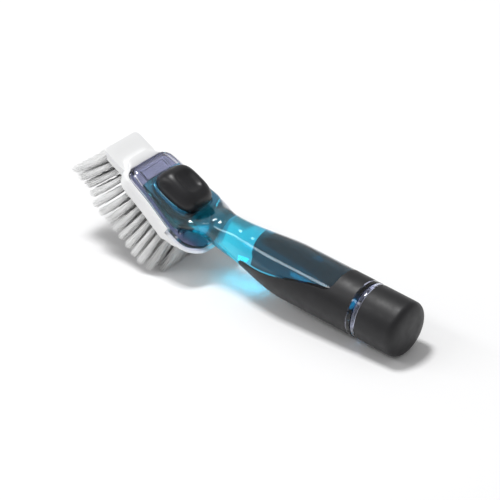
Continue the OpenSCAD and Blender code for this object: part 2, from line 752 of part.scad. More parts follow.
module inlet_gasket() {
    color("dimgray")
        at_rest()
            at_valve(deck_w - gasket_h + 0.25)
                ring(inlet_r, gasket_r, gasket_h);
}
module outlet_valve() {
    color("lightgray")
        at_rest()
            difference() {
                union() {
                    at_valve(block_bottom)
                        cylinder(r = outlet_r, h = inlet_floor - block_bottom - 0.6);
                    at_valve(block_bottom - 0.8)
                        cylinder(r = grommet_r, h = 0.8);
                }
                at_valve(block_bottom - 2)
                    cylinder(r = outlet_r - 1.4, h = head_len);
            }
}
module tab_pin() {
    color("silver")
        at_rest()
            at_head()
                translate([pin_u, 0, pin_w])
                    rotate([90, 0, 0])
                        cylinder(r = pin_r, h = tab_w + 6, center = true);
}
// Release tab: a lever on its pin that tapers to its tip below the neck
tab_tip_u = pin_u + 8.6;
tab_knee = 7;
module tab_arm() {
    top = pin_w + 3;
    intersection() {
        translate([0, tab_w / 2, 0])
            rotate([90, 0, 0])
                linear_extrude(height = tab_w)
                    polygon([[pin_u - 1.2, pin_w - 1.4], [pin_u + 1.6, pin_w + 0.9],
                        [tab_tip_u + 0.9, 1.6 - tab_depth], [tab_tip_u + 0.5, -tab_depth],
                        [tab_tip_u - 1.2, -tab_depth]]);
        translate([0, 0, top])
            rotate([0, 90, 0])
                linear_extrude(height = head_len * 2)
                    polygon([[-1, -tab_w / 2 - 1], [tab_knee, -tab_w / 2 - 1],
                        [top + tab_depth + 1, -tab_w / 4], [top + tab_depth + 1, tab_w / 4],
                        [tab_knee, tab_w / 2 + 1], [-1, tab_w / 2 + 1]]);
    }
}
module release_tab() {
    color("whitesmoke")
        at_rest()
            at_head()
                difference() {
                    union() {
                        tab_arm();
                        translate([pin_u, 0, pin_w])
                            rotate([90, 0, 0])
                                cylinder(r = tab_hub_r, h = tab_w, center = true);
                    }
                    translate([pin_u, 0, pin_w])
                        rotate([90, 0, 0])
                            cylinder(r = pin_r + run_gap, h = tab_w + 2, center = true);
                }
}

// Bristles: strands in tufts, fused to their own slice of the block's underside
front_split_u = (tuft_u(front_count - 1) + tuft_u(front_count)) / 2;
inner_share = (ROWS[1] + ROWS[2]) / 2;
low_plan = grown(both_sides(block_low), -0.15);
split_us = [for (t = [0 : 6]) mix(front_split_u, low_end_u + 1, t / 6)];
inner_plan = both_sides([for (u = split_us) [u, max(4, (block_half(u) - edge_inset) * inner_share)]]);
module strand(root, tip) {
    d = tip - root;
    translate(root)
        rotate([0, acos(d[2] / norm(d)), atan2(d[1], d[0])])
            cylinder(r = strand_r, h = norm(d), $fn = 3);
}
module tufts(first, last, rows, side) {
    scale([1, side, 1])
        for (i = [first : last], row = rows, k = [0 : tuft_strands - 1])
            if (has_tuft(i, row))
                strand(strand_root(i, row, k), strand_tip(i, row, k));
}
module slice(front, inner) {
    difference() {
        translate([0, 0, block_bottom])
            linear_extrude(height = backing_t)
                intersection() {
                    difference() {
                        polygon(low_plan);
                        if (!front && !inner)
                            polygon(inner_plan);
                    }
                    if (front)
                        translate([-head_len, -head_len])
                            square([head_len + front_split_u, 2 * head_len]);
                    else if (inner)
                        polygon(inner_plan);
                    else
                        translate([front_split_u, 0])
                            square([head_len, head_len]);
                }
        tab_slot();
        translate([valve_u, 0, block_bottom - 1])
            cylinder(r = outlet_r, h = backing_t + 2);
    }
}
module bristles_front() {
    color("white")
        at_rest()
            at_head() {
                slice(true, false);
                tufts(0, front_count - 1, [0, 1, 2, 3], 1);
                tufts(0, front_count - 1, [0, 1, 2, 3], -1);
            }
}
module bristles_left() {
    color("white")
        at_rest()
            at_head() {
                slice(false, false);
                tufts(front_count, tuft_count, [0, 1], 1);
            }
}
module bristles_right() {
    color("white")
        at_rest()
            at_head() {
                scale([1, -1, 1])
                    slice(false, false);
                tufts(front_count, tuft_count, [0, 1], -1);
            }
}
module bristles_center() {
    color("white")
        at_rest()
            at_head() {
                slice(false, true);
                tufts(front_count, tuft_count, [2, 3], 1);
                tufts(front_count, tuft_count, [2, 3], -1);
            }
}

handle_shell();
head_base();
grip_sleeve();
soap_fill();
valve_seat();
button_guide();
stem_seal();
button_skin();
button_core();
valve_stem();
valve_plug();
stem_clip();
return_spring();
cap_seal();
cap_liner();
cap_grip();
brush_block();
outlet_valve();
inlet_gasket();
tab_pin();
release_tab();
bristles_front();
bristles_left();
bristles_right();
bristles_center();
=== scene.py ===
"""Surfaces, finishes and stage of a dish wand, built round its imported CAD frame.
Lengths are in millimetres and angles in degrees, unless a name says otherwise."""

import bmesh
import bpy
import numpy as np
from bpy.props import FloatProperty, FloatVectorProperty, IntProperty, PointerProperty
from bpy.types import Operator, Panel, PropertyGroup
from mathutils import Matrix, Vector


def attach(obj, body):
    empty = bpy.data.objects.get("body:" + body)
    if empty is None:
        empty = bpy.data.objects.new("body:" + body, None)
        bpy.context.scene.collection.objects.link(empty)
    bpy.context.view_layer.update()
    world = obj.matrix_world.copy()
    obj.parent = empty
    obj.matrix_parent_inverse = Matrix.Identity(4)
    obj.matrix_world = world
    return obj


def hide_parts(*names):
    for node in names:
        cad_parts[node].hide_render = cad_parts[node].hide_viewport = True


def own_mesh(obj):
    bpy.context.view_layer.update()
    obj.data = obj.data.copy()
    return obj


bl_info = {
    "name": "Dish wand",
    "version": (1, 0, 0),
    "blender": (4, 5, 0),
    "location": "3D Viewport > Sidebar > Dish wand",
    "description": "Surfaces, finishes and stage of a soap-dispensing dish brush",
    "category": "Add Mesh",
}

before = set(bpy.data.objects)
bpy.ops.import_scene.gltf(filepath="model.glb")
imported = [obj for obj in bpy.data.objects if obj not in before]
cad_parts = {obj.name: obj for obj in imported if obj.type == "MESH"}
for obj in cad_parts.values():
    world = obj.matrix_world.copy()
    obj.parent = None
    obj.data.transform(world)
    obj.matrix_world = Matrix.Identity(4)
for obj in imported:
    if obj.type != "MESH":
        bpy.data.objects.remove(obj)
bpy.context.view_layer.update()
MM = 0.001

# Handle, its wall, the grip's window, the spout and the cap
HANDLE_R, NECK_R, NECK_AT, NECK_RISE = 18.8, 12.6, 111.0, 3.2
SHELL_WALL, GRIP_WALL, RING_W = 2.0, 2.2, 3.5
WINDOW_REAR, GRIP_FRONT, TONGUE_LEN = 19.5, 87.0, 6.0
WINDOW_SIDE, WINDOW_DROP, WINDOW_CORNER = 11.0, 10.5, 6.0
SPOUT_LEN, SPOUT_R, SPOUT_WALL = 12.0, 15.0, 2.0
CAP_LEN, CAP_RING, CAP_ROUND, LINER_WALL, SEAL_T = 33.2, 3.1, 7.5, 1.5, 1.6
# Clear head, its button and the brush block below it
HEAD_REACH, HEAD_RISE, HEAD_BEND, HEAD_LEN, HEAD_HALF = 184.4, 25.9, 25.5, 70.0, 25.6
FLANGE_T, BASE_T, DOME_INSET, DOME_FRONT, DOME_REAR = 2.2, 2.0, 2.6, 5.6, 9.0
VALVE_U, LOFT_U, NECK_TOP = 32.5, 66.0, 19.5
BUTTON_LEN, BUTTON_WIDE, BUTTON_TOP, DISH = 17.4, 14.2, 17.1, 1.7
TRAVEL, SKIN_T, GAP = 2.4, 1.8, 0.3
MOAT_FLOOR, MOAT_WALL = 2.5, 1.5
RIM_WALL, BLOCK_DEPTH, LIP_LEN, LIP_HALF, LIP_DROP, LIP_T = 2.6, 9.6, 22.8, 16.0, 3.9, 2.4
DECK_W, RIM_TOP, RIM_NOTCH = -4.5, -1.0, 3.1
TAB_W = 13.0
# Half width of the head as shares: (share of the length, share of HEAD_HALF)
PLAN = np.array([[0, 0.54], [0.012, 0.62], [0.03, 0.70], [0.07, 0.775], [0.14, 0.81], [0.24, 0.83],
    [0.34, 0.852], [0.44, 0.89], [0.54, 0.93], [0.64, 0.97], [0.73, 0.992], [0.80, 0.99],
    [0.86, 0.96], [0.91, 0.89], [0.95, 0.78], [0.98, 0.65], [1, 0.53]])

# The rest pose: handle axis, up direction and mouth in the row frame
AXIS = np.array([0.996816, 0.0, -0.079732])
UP = np.array([0.079732, 0.0, 0.996816])
MOUTH = np.array([99.2246, 0.0, 20.8131])

# Points round a section of the body, a turned piece and a disc in the head
BODY_SIDES, LATHE_SIDES, DISC_SIDES = 96, 128, 64
# A hair that keeps two faces from lying in one plane
HAIR = 0.02


def ease(t):
    """Smooth step: 3 t^2 - 2 t^3, with t held between 0 and 1."""
    c = np.clip(t, 0, 1)
    return c * c * (3 - 2 * c)


def mix(a, b, t):
    """From a at t = 0 to b at t = 1, in a straight line."""
    return a + (b - a) * t


def flowing(t, keys):
    """Curve through key points without overshoot: cubic pieces whose slopes are harmonic means."""
    x, y = keys[:, 0], keys[:, 1]
    h = np.diff(x)
    s = np.diff(y) / h
    m = np.concatenate([[s[0]], np.where(s[1:] * s[:-1] > 0,
        2 * s[1:] * s[:-1] / np.where(s[1:] + s[:-1] == 0, 1, s[1:] + s[:-1]), 0), [s[-1]]])
    t = np.clip(t, x[0], x[-1])
    k = np.clip(np.searchsorted(x, t) - 1, 0, len(h) - 1)
    f = (t - x[k]) / h[k]
    return ((2 * f**3 - 3 * f**2 + 1) * y[k] + (f**3 - 2 * f**2 + f) * h[k] * m[k]
        + (3 * f**2 - 2 * f**3) * y[k + 1] + (f**3 - f**2) * h[k] * m[k + 1])


def to_row(p):
    """Handle frame (x along the axis, z up) to the row frame: mouth + x a + z n, with y kept."""
    p = np.asarray(p, float)
    return MOUTH + p[..., :1] * AXIS + p[..., 2:] * UP + p[..., 1:2] * np.array([0, 1, 0])


def head_to_handle(u, y, w):
    """Head frame to handle frame: the head's front edge at -HEAD_REACH, turned by HEAD_BEND."""
    b = np.radians(HEAD_BEND)
    u, y, w = np.broadcast_arrays(u, y, w)
    return np.stack([-HEAD_REACH + u * np.cos(b) + w * np.sin(b), y,
        HEAD_RISE - u * np.sin(b) + w * np.cos(b)], -1)


def head_to_row(u, y, w):
    """Head frame straight to the row frame."""
    return to_row(head_to_handle(u, y, w))


HEAD_ORIGIN = head_to_row(0.0, 0.0, 0.0)
HEAD_W = head_to_row(0.0, 0.0, 1.0) - HEAD_ORIGIN


def grid_faces(rows, cols, closed):
    """Quads between neighbouring rows of a grid; the last column joins the first if closed."""
    j, i = np.meshgrid(np.arange(rows - 1), np.arange(cols if closed else cols - 1), indexing="ij")
    a = j * cols + i
    b = j * cols + (i + 1) % cols
    return np.stack([a, a + cols, b + cols, b], -1).reshape(-1, 4)


def new_mesh(name, points, quads, tris):
    """Object from points in millimetres; the faces are turned round if the volume comes out negative."""
    fans = np.concatenate([tris, quads[:, [0, 1, 2]], quads[:, [0, 2, 3]]]).astype(int)
    a, b, c = (points[fans[:, k]] - points.mean(0) for k in range(3))
    if np.einsum("ij,ij->i", a, np.cross(b, c)).sum() < 0:
        quads, tris = quads[:, ::-1], tris[:, ::-1]
    mesh = bpy.data.meshes.new(name)
    mesh.from_pydata((points * MM).tolist(), [], quads.tolist() + tris.tolist())
    mesh.validate()
    made = bpy.data.objects.new(name, mesh)
    bpy.context.scene.collection.objects.link(made)
    return made


def closed_loft(name, rings):
    """Closed skin through rings of equal length, each end shut by a fan from its middle."""
    m, n, _ = rings.shape
    points = np.concatenate([rings.reshape(-1, 3), rings[0].mean(0)[None], rings[-1].mean(0)[None]])
    i = np.arange(n)
    k = (i + 1) % n
    ends = np.concatenate([np.stack([i, k, np.full(n, m * n)], -1),
        np.stack([(m - 1) * n + k, (m - 1) * n + i, np.full(n, m * n + 1)], -1)])
    return new_mesh(name, points, grid_faces(m, n, True), ends)


def lathe(name, profile):
    """Turned piece: each profile point (x, r) goes round the handle axis; both ends are shut."""
    profile = np.asarray(profile, float)
    a = np.linspace(0, 2 * np.pi, LATHE_SIDES, endpoint=False)
    x, r = profile[:, :1], profile[:, 1:]
    rings = np.stack([x + 0 * a, r * np.sin(a), r * np.cos(a)], -1)
    return merged(closed_loft(name, to_row(rings)))


def merged(piece):
    """Joins the points that fall together at poles."""
    reach = 0.0004 * MM
    work = bmesh.new()
    work.from_mesh(piece.data)
    bmesh.ops.remove_doubles(work, verts=work.verts, dist=reach)
    bmesh.ops.dissolve_degenerate(work, edges=work.edges, dist=reach)
    work.to_mesh(piece.data)
    work.free()
    return piece


def cut(piece, other, how="DIFFERENCE"):
    """Exact union, difference or intersection of two closed pieces; the second is used up."""
    step = piece.modifiers.new("cut", "BOOLEAN")
    step.operation = how
    step.object = other
    step.solver = "EXACT"
    result = bpy.data.meshes.new_from_object(piece.evaluated_get(bpy.context.evaluated_depsgraph_get()))
    piece.modifiers.clear()
    old, piece.data = piece.data, result
    bpy.data.meshes.remove(old)
    used = other.data
    bpy.data.objects.remove(other)
    bpy.data.meshes.remove(used)
    if not piece.data.polygons:
        raise RuntimeError(piece.name + ": nothing is left after a cut")
    return piece


def smooth(piece, edge=32):
    """Smooth shading, with edges sharper than an angle kept crisp."""
    piece.data.shade_smooth()
    piece.data.set_sharp_from_angle(angle=np.radians(edge))
    return piece


# The tube narrows over NARROW_LEN up to NECK_AT, and its centre rises over RISE_LEN from RISE_FROM
NARROW_LEN, RISE_FROM, RISE_LEN = 54.0, NECK_AT - 50, 56.0
# The dome starts EDGE_TOP high, is a plain slope from SLOPE_FROM to SLOPE_TO, and its sides join the
# neck over JOIN_LEN from JOIN_FROM
EDGE_TOP, SLOPE_FROM, SLOPE_TO = 1.4, VALVE_U - 17, VALVE_U + 17.5
PLAN_HELD, JOIN_FROM, JOIN_LEN, JOIN_HALF = HEAD_LEN - 12, HEAD_LEN - 24, 20.0, NECK_R + 0.6
# The sections' middle rises over SPINE_LEN from SPINE_FROM, while their corners grow rounder
SPINE_FROM, SPINE_LEN, SPINE_TOP = HEAD_LEN - 22, 18.0, NECK_TOP / 2 - 1
HEAD_SQUARE, NECK_SQUARE, ROUNDER_FROM, ROUNDER_LEN = 2.8, 2.1, HEAD_LEN - 26, 20.0


def handle_radius(d):
    """Radius at d behind the mouth: HANDLE_R easing to NECK_R."""
    return mix(HANDLE_R, NECK_R, ease((d - NECK_AT + NARROW_LEN) / NARROW_LEN))


def handle_centre(d):
    """Height of the tube's centre at d behind the mouth."""
    return NECK_RISE * ease((d - RISE_FROM) / RISE_LEN)


def plan_half(u):
    """Half width of the head's plan at u behind its front edge."""
    return HEAD_HALF * flowing(np.asarray(u, float) / HEAD_LEN, PLAN)


def dome_half(u):
    """Half width of the dome: the plan less an inset that eases in at the front, then the neck's."""
    inset = DOME_INSET * ease(u / 5 + 0.35)
    return mix(plan_half(np.minimum(u, PLAN_HELD)) - inset, JOIN_HALF, ease((u - JOIN_FROM) / JOIN_LEN))


def dome_top(u):
    """Height of the dome: a square-root rise to the button, a plain slope, then an eased rise to the neck."""
    front = mix(EDGE_TOP, DOME_FRONT, np.sqrt(np.clip(u, 0, None) / SLOPE_FROM))
    middle = mix(DOME_FRONT, DOME_REAR, (u - SLOPE_FROM) / (SLOPE_TO - SLOPE_FROM))
    rear = mix(DOME_REAR, NECK_TOP, ease((u - SLOPE_TO) / (LOFT_U - SLOPE_TO)))
    return np.where(u < SLOPE_FROM, front, np.where(u < SLOPE_TO, middle, rear))


def spine_w(u):
    """Height of the widest level of the head's sections."""
    return SPINE_TOP * ease((u - SPINE_FROM) / SPINE_LEN)


def power(v, e):
    """Power that keeps the sign, for superellipses."""
    return np.sign(v) * np.abs(v) ** e


def stood_section(half, up, down, n, x, z, tilt):
    """Superellipse |y/half|^n + |z/up|^n = 1 stood up at x, z and leaned by tilt degrees."""
    a = np.linspace(0, 2 * np.pi, BODY_SIDES, endpoint=False)
    half, up, down, n, x, z = (np.asarray(v, float)[..., None] for v in (half, up, down, n, x, z))
    y = half * power(np.cos(a), 2 / n)
    s = power(np.sin(a), 2 / n)
    h = np.where(s > 0, up * s, down * s)
    t = np.radians(tilt)
    return np.stack([x + h * np.sin(t), y, z + h * np.cos(t)], -1)


def body_rings(from_d, inset, floor_w, stop_u, more=0.0):
    """Rings of the clear body from the mouth's side to the head's front, inset by a wall, and by
    more of it under the grip. Handle: circles of handle_radius. Neck: cubic blend h = t^2 (3 - 2 t)
    of the two end rings, with slopes of length pull. Head: superellipses of dome_half and dome_top
    over a flat floor."""
    last_d, under_grip, pull = NECK_AT - 8, 15, 6
    d = np.concatenate([[from_d], np.arange(np.ceil(from_d / 4) * 4 + 1, last_d, 3.0), [last_d]])
    r = handle_radius(d) - inset - more * (1 - ease((d - GRIP_FRONT) / under_grip))
    tube = stood_section(r, r, r, 2 + 0 * d, -d, handle_centre(d), 0)
    u = np.concatenate([np.linspace(LOFT_U, 46, 14), np.linspace(44, 16, 14),
        [14, 12, 10, 8, 6.4, 5, 3.9, 3, 2.3, 1.8, 1.4, 1.1]])
    u = u[u >= stop_u - 1e-6]
    c = head_to_handle(u, 0.0, spine_w(u))
    square = mix(HEAD_SQUARE, NECK_SQUARE, ease((u - ROUNDER_FROM) / ROUNDER_LEN))
    head = stood_section(dome_half(u) - inset, dome_top(u) - spine_w(u) - inset, spine_w(u) - floor_w,
        square, c[..., 0], c[..., 2], HEAD_BEND)
    t = np.linspace(0, 1, 9)[1:-1, None, None]
    b = np.radians(HEAD_BEND)
    neck = (tube[-1] * (1 - ease(t)) + head[0] * ease(t) + pull * np.array([-1, 0, 0.03]) * t * (1 - t) ** 2
        + pull * np.array([np.cos(b), 0, -np.sin(b)]) * t * t * (1 - t))
    return np.concatenate([tube, neck, head])


def side_and_mirror(u, y):
    """Closed plan outline from one side's points, mirrored about the middle plane."""
    return np.concatenate([np.stack([u, y], -1), np.stack([u, -y], -1)[::-1]])


def grown(plan, by):
    """The outline moved outwards along the mean of its two edge normals."""
    edge = np.roll(plan, -1, 0) - plan
    n = np.stack([-edge[:, 1], edge[:, 0]], -1)
    n /= np.maximum(np.linalg.norm(n, axis=1, keepdims=True), 1e-6)
    m = n + np.roll(n, 1, 0)
    m /= np.maximum(np.linalg.norm(m, axis=1, keepdims=True), 1e-6)
    return plan + m * by / np.maximum(0.6, (m * n).sum(1, keepdims=True))


def plan_loft(name, steps):
    """Closed piece through plans in the head frame: each step is (plan, height)."""
    return closed_loft(name, np.stack([head_to_row(p[:, 0], p[:, 1], w) for p, w in steps]))


def prism(plan, low, high):
    """Cutting tool with one plan from a low to a high level of the head."""
    return plan_loft("tool", [(plan, high), (plan, low)])


# Plan of the head, and of the hole that its plate closes from below
FINE_SHARE = np.concatenate([np.linspace(0, 0.1, 16)[:-1], np.linspace(0.1, 0.84, 34)[:-1],
    np.linspace(0.84, 1, 20)])
HEAD_PLAN = side_and_mirror(FINE_SHARE * HEAD_LEN, plan_half(FINE_SHARE * HEAD_LEN))
OPENING_INSET = DOME_INSET + SHELL_WALL - 0.4
OPENING = grown(HEAD_PLAN, -OPENING_INSET)
OPENING[:, 0] = np.minimum(OPENING[:, 0], HEAD_LEN - 15)
# Pocket of the catch, in front of the valve
POCKET_U, POCKET_LEN = OPENING_INSET + 1.6, 7.0
# Round holes about the valve, from the button down to the outlet
GUIDE_R, SEAL_ROOM_R, SEAT_R, WELL_R, GASKET_R, OUTLET_R, MOUTH_R = 6.4, 8.2, 7.2, 5.3, 7.9, 5.5, 3.2
# The boss under the button: its top and its wall
BOSS_TOP, BOSS_WALL = float(dome_top(np.array(VALVE_U))), 1.8


def button_plan(share, margin=0.0):
    """Rounded rectangle: (cos a)^0.6 along the head and (sin a)^0.6 across it."""
    a = np.linspace(0, 2 * np.pi, BODY_SIDES, endpoint=False)
    return np.stack([VALVE_U + (BUTTON_LEN * share + margin) * power(np.cos(a), 0.6),
        (BUTTON_WIDE * share + margin) * power(np.sin(a), 0.6)], -1)


def disc(radius, low, high):
    """Round tool about the valve's axis, in the head frame."""
    a = np.linspace(0, 2 * np.pi, DISC_SIDES, endpoint=False)
    return prism(np.stack([VALVE_U + radius * np.cos(a), radius * np.sin(a)], -1), low, high)


def box_tool(u0, u1, half_y, low, high):
    """Square tool across the middle plane, in the head frame."""
    return prism(np.array([[u0, half_y], [u1, half_y], [u1, -half_y], [u0, -half_y]], float), low, high)


def rod(radius, stations):
    """Round tool about the handle axis, through stations given as x."""
    a = np.linspace(0, 2 * np.pi, BODY_SIDES, endpoint=False)
    ring = np.stack([0 * a, radius * np.cos(a), radius * np.sin(a)], -1)
    return closed_loft("tool", to_row(np.stack([ring + [x, 0, 0] for x in stations])))


def chamber(name, gap, from_d, stop_u):
    """Room for the soap: the body's rings inset by the wall, with the button's moat left out
    and the boss under the button put back."""
    room = closed_loft(name, to_row(body_rings(from_d, SHELL_WALL + gap, -0.1 + gap, stop_u, GRIP_WALL)))
    floor = MOAT_FLOOR - MOAT_WALL - gap
    cut(room, prism(button_plan(1, MOAT_WALL + gap), floor, HEAD_LEN))
    return cut(room, prism(button_plan(1, -SKIN_T - 2 - gap), floor - 0.5, BOSS_TOP - BOSS_WALL - gap), "UNION")


def window_plan():
    """Side view of the grip in the handle frame: a straight rear edge, the window's rounded rear
    corner, its falling edge, the tongue's round nose and the front edge."""
    past, slant, nose_r, nose_long = HANDLE_R + 6, 1.2, 4.6, 1.2
    tip_x, nose_z = -GRIP_FRONT - TONGUE_LEN, WINDOW_SIDE - WINDOW_DROP
    a = np.radians(np.linspace(0, 90, 13))
    shift = np.linspace(0, slant, len(a))
    corner = np.stack([-WINDOW_REAR - WINDOW_CORNER * (1 - np.cos(a)) - shift,
        WINDOW_SIDE + WINDOW_CORNER * (1 - np.sin(a))], -1)
    t = np.linspace(0.06, 1, 16)
    edge = np.stack([mix(-WINDOW_REAR - WINDOW_CORNER - slant, tip_x + 7, t),
        WINDOW_SIDE - WINDOW_DROP * (ease(0.1 + 0.9 * t) - ease(0.1))], -1)
    b = np.radians(90 + np.linspace(12, 157.5, 14))
    nose = np.stack([tip_x + nose_r + nose_long * nose_r * np.cos(b), nose_z - nose_r + nose_r * np.sin(b)], -1)
    return np.concatenate([[[-RING_W, past], [-WINDOW_REAR, past]], corner, edge, nose,
        [[-GRIP_FRONT - 1, -HANDLE_R * 0.62], [-GRIP_FRONT, -past], [-RING_W, -past]]])


def grip_region(more=0.0):
    """Tool: the grip's side view, grown by a little more and carried straight across the handle."""
    side = grown(window_plan(), more)
    n = len(side)
    points = np.concatenate([np.stack([side[:, 0], np.full(n, y), side[:, 1]], -1) for y in (-45.0, 45.0)])
    mesh = bpy.data.meshes.new("tool")
    rim = [[i, (i + 1) % n, n + (i + 1) % n, n + i] for i in range(n)]
    mesh.from_pydata((to_row(points) * MM).tolist(), [], [list(range(n))[::-1], list(range(n, 2 * n))] + rim)
    work = bmesh.new()
    work.from_mesh(mesh)
    bmesh.ops.recalc_face_normals(work, faces=work.faces)
    bmesh.ops.triangulate(work, faces=work.faces)
    work.to_mesh(mesh)
    work.free()
    made = bpy.data.objects.new("tool", mesh)
    bpy.context.scene.collection.objects.link(made)
    return made


# How much clear plastic and soap bend light
PLASTIC_IOR, SOAP_IOR = 1.49, 1.36


# Finishes: each is a small node tree on Object coordinates
def node(tree, kind, **inputs):
    """New shader node; each name is a property of the node or else an input of it."""
    made = tree.nodes.new(kind)
    for key, value in inputs.items():
        if hasattr(made, key):
            setattr(made, key, value)
        else:
            made.inputs[key.replace("_", " ")].default_value = value
    return made


def finish_base(name):
    """New material with its shader, output and coordinates."""
    mat = bpy.data.materials.new(name)
    mat.use_nodes = True
    tree = mat.node_tree
    tree.nodes.clear()
    shader = node(tree, "ShaderNodeBsdfPrincipled")
    out = node(tree, "ShaderNodeOutputMaterial")
    tree.links.new(shader.outputs["BSDF"], out.inputs["Surface"])
    where = node(tree, "ShaderNodeTexCoord")
    return mat, tree, shader, out, where


def noise_between(tree, where, scale, detail, low, high, target):
    """Noise on Object coordinates spread between two numbers and fed to a socket."""
    noise = node(tree, "ShaderNodeTexNoise", Scale=scale, Detail=detail)
    tree.links.new(where.outputs["Object"], noise.inputs["Vector"])
    spread = node(tree, "ShaderNodeMapRange")
    for key, value in (("From Min", 0.3), ("From Max", 0.7), ("To Min", low), ("To Max", high)):
        spread.inputs[key].default_value = value
    tree.links.new(noise.outputs["Fac"], spread.inputs["Value"])
    tree.links.new(spread.outputs["Result"], target)


def tinted(tree, where, scale, colour_a, colour_b, target):
    """Colour that drifts between two shades by noise."""
    noise = node(tree, "ShaderNodeTexNoise", Scale=scale, Detail=3.0)
    tree.links.new(where.outputs["Object"], noise.inputs["Vector"])
    ramp = node(tree, "ShaderNodeValToRGB")
    ramp.color_ramp.elements[0].position = 0.35
    ramp.color_ramp.elements[1].position = 0.65
    ramp.color_ramp.elements[0].color = (*colour_a, 1)
    ramp.color_ramp.elements[1].color = (*colour_b, 1)
    tree.links.new(noise.outputs["Fac"], ramp.inputs["Fac"])
    tree.links.new(ramp.outputs["Color"], target)


def grained(tree, where, shader, scale, depth, strength):
    """Bump from fine noise; depth is in metres."""
    noise = node(tree, "ShaderNodeTexNoise", Scale=scale, Detail=4.0)
    tree.links.new(where.outputs["Object"], noise.inputs["Vector"])
    bump = node(tree, "ShaderNodeBump", Strength=strength, Distance=depth)
    tree.links.new(noise.outputs["Fac"], bump.inputs["Height"])
    tree.links.new(bump.outputs["Normal"], shader.inputs["Normal"])


def let_light_through(tree, shader, out, colour):
    """Shadow rays pass a piece in part, as through clear or milky plastic."""
    through = node(tree, "ShaderNodeBsdfTransparent", Color=(*colour, 1))
    path = node(tree, "ShaderNodeLightPath")
    pick = node(tree, "ShaderNodeMixShader")
    tree.links.new(path.outputs["Is Shadow Ray"], pick.inputs[0])
    tree.links.new(shader.outputs["BSDF"], pick.inputs[1])
    tree.links.new(through.outputs["BSDF"], pick.inputs[2])
    tree.links.new(pick.outputs["Shader"], out.inputs["Surface"])


def opaque(name, colour_a, colour_b, rough, tint_scale=60.0, grain=900.0, depth=0.00003, strength=0.3,
           metallic=0.0, specular=0.5, sheen=0.0, subsurface=0.0, milky=0.0):
    """Moulded plastic, rubber or steel: drifting colour, uneven gloss and fine grain. A milky piece
    lets that share of the lamps' light through."""
    mat, tree, shader, out, where = finish_base(name)
    tinted(tree, where, tint_scale, colour_a, colour_b, shader.inputs["Base Color"])
    noise_between(tree, where, 160.0, 4.0, rough[0], rough[1], shader.inputs["Roughness"])
    grained(tree, where, shader, grain, depth, strength)
    for key, value in (("Metallic", metallic), ("Specular IOR Level", specular), ("Sheen Weight", sheen),
                       ("Sheen Roughness", 0.4), ("Subsurface Weight", subsurface)):
        shader.inputs[key].default_value = value
    if subsurface:
        shader.inputs["Subsurface Radius"].default_value = (0.004, 0.004, 0.0045)
        shader.inputs["Subsurface Scale"].default_value = 0.5
    if milky:
        let_light_through(tree, shader, out, (milky, milky, milky))
    return mat


def clear(name, tint_a, tint_b, ior, rough, wave=0.00004, depth_colour=None, density=0.0, gloss=0.32,
          shade=(0.76, 0.77, 0.80)):
    """Clear plastic or liquid: tinted at each face, with faint flow marks and colour by depth. The
    lamps' light goes straight through and takes the shade at each face."""
    mat, tree, shader, out, where = finish_base(name)
    tinted(tree, where, 25.0, tint_a, tint_b, shader.inputs["Base Color"])
    noise_between(tree, where, 90.0, 3.0, rough[0], rough[1], shader.inputs["Roughness"])
    grained(tree, where, shader, 28.0, wave, 0.5)
    shader.inputs["Transmission Weight"].default_value = 1.0
    shader.inputs["IOR"].default_value = ior
    shader.inputs["Specular IOR Level"].default_value = gloss
    let_light_through(tree, shader, out, shade)
    if depth_colour is not None:
        soak = node(tree, "ShaderNodeVolumeAbsorption", Color=(*depth_colour, 1), Density=density)
        tree.links.new(soak.outputs["Volume"], out.inputs["Volume"])
    return mat


def dressed(piece, mat, body, slot, *nodes):
    """Gives a piece its finish and body, and hides the CAD nodes it stands for. The slot is not used."""
    piece.data.materials.clear()
    piece.data.materials.append(mat)
    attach(piece, body)
    if nodes:
        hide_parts(*nodes)
    return piece


def keep_node(name, mat):
    """A CAD node whose shape is right stays and gets a better finish."""
    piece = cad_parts[name]
    if piece.data.materials:
        for i in range(len(piece.material_slots)):
            piece.material_slots[i].material = mat
    else:
        piece.data.materials.append(mat)


# Shapes of the pieces
def clear_body():
    """Handle tube, neck, head dome and flange as one skin with the soap's room cut out."""
    body = closed_loft("clear_body", to_row(body_rings(0, 0, -FLANGE_T + 0.4, 1)))
    edge = [(0.9, 0.0), (0.5, -0.12), (0.2, -0.38), (0.0, -0.9), (0.0, -FLANGE_T)]
    cut(body, plan_loft("flange", [(grown(HEAD_PLAN, -inset), w) for inset, w in edge]), "UNION")
    cut(body, rod(SPOUT_R, (-4.0, SPOUT_LEN - 0.5, SPOUT_LEN)), "UNION")
    under_grip = closed_loft("tool", to_row(body_rings(0, GRIP_WALL, -FLANGE_T, 60)))
    cut(body, cut(grip_region(), under_grip))
    cut(body, chamber("tool", 0, RING_W + 6, SHELL_WALL + 1))
    moat = cut(prism(button_plan(1, GAP + 0.1), MOAT_FLOOR, HEAD_LEN),
        prism(button_plan(1, -SKIN_T - 0.6), MOAT_FLOOR - 1, BOSS_TOP))
    cut(body, moat)
    cut(body, prism(OPENING, -FLANGE_T - 1, 0))
    cut(body, disc(GUIDE_R, BOSS_TOP - 2.8, BOSS_TOP + 2))
    cut(body, rod(SPOUT_R - SPOUT_WALL, (-RING_W - 8, SPOUT_LEN + 1)))
    return smooth(body)


def soap():
    """The liquid reaches a hair into the wall, so light bends once where the two meet."""
    fill = chamber("soap", -0.05, 12, 14)
    return smooth(cut(fill, disc(SEAL_ROOM_R, -4, HEAD_LEN)))


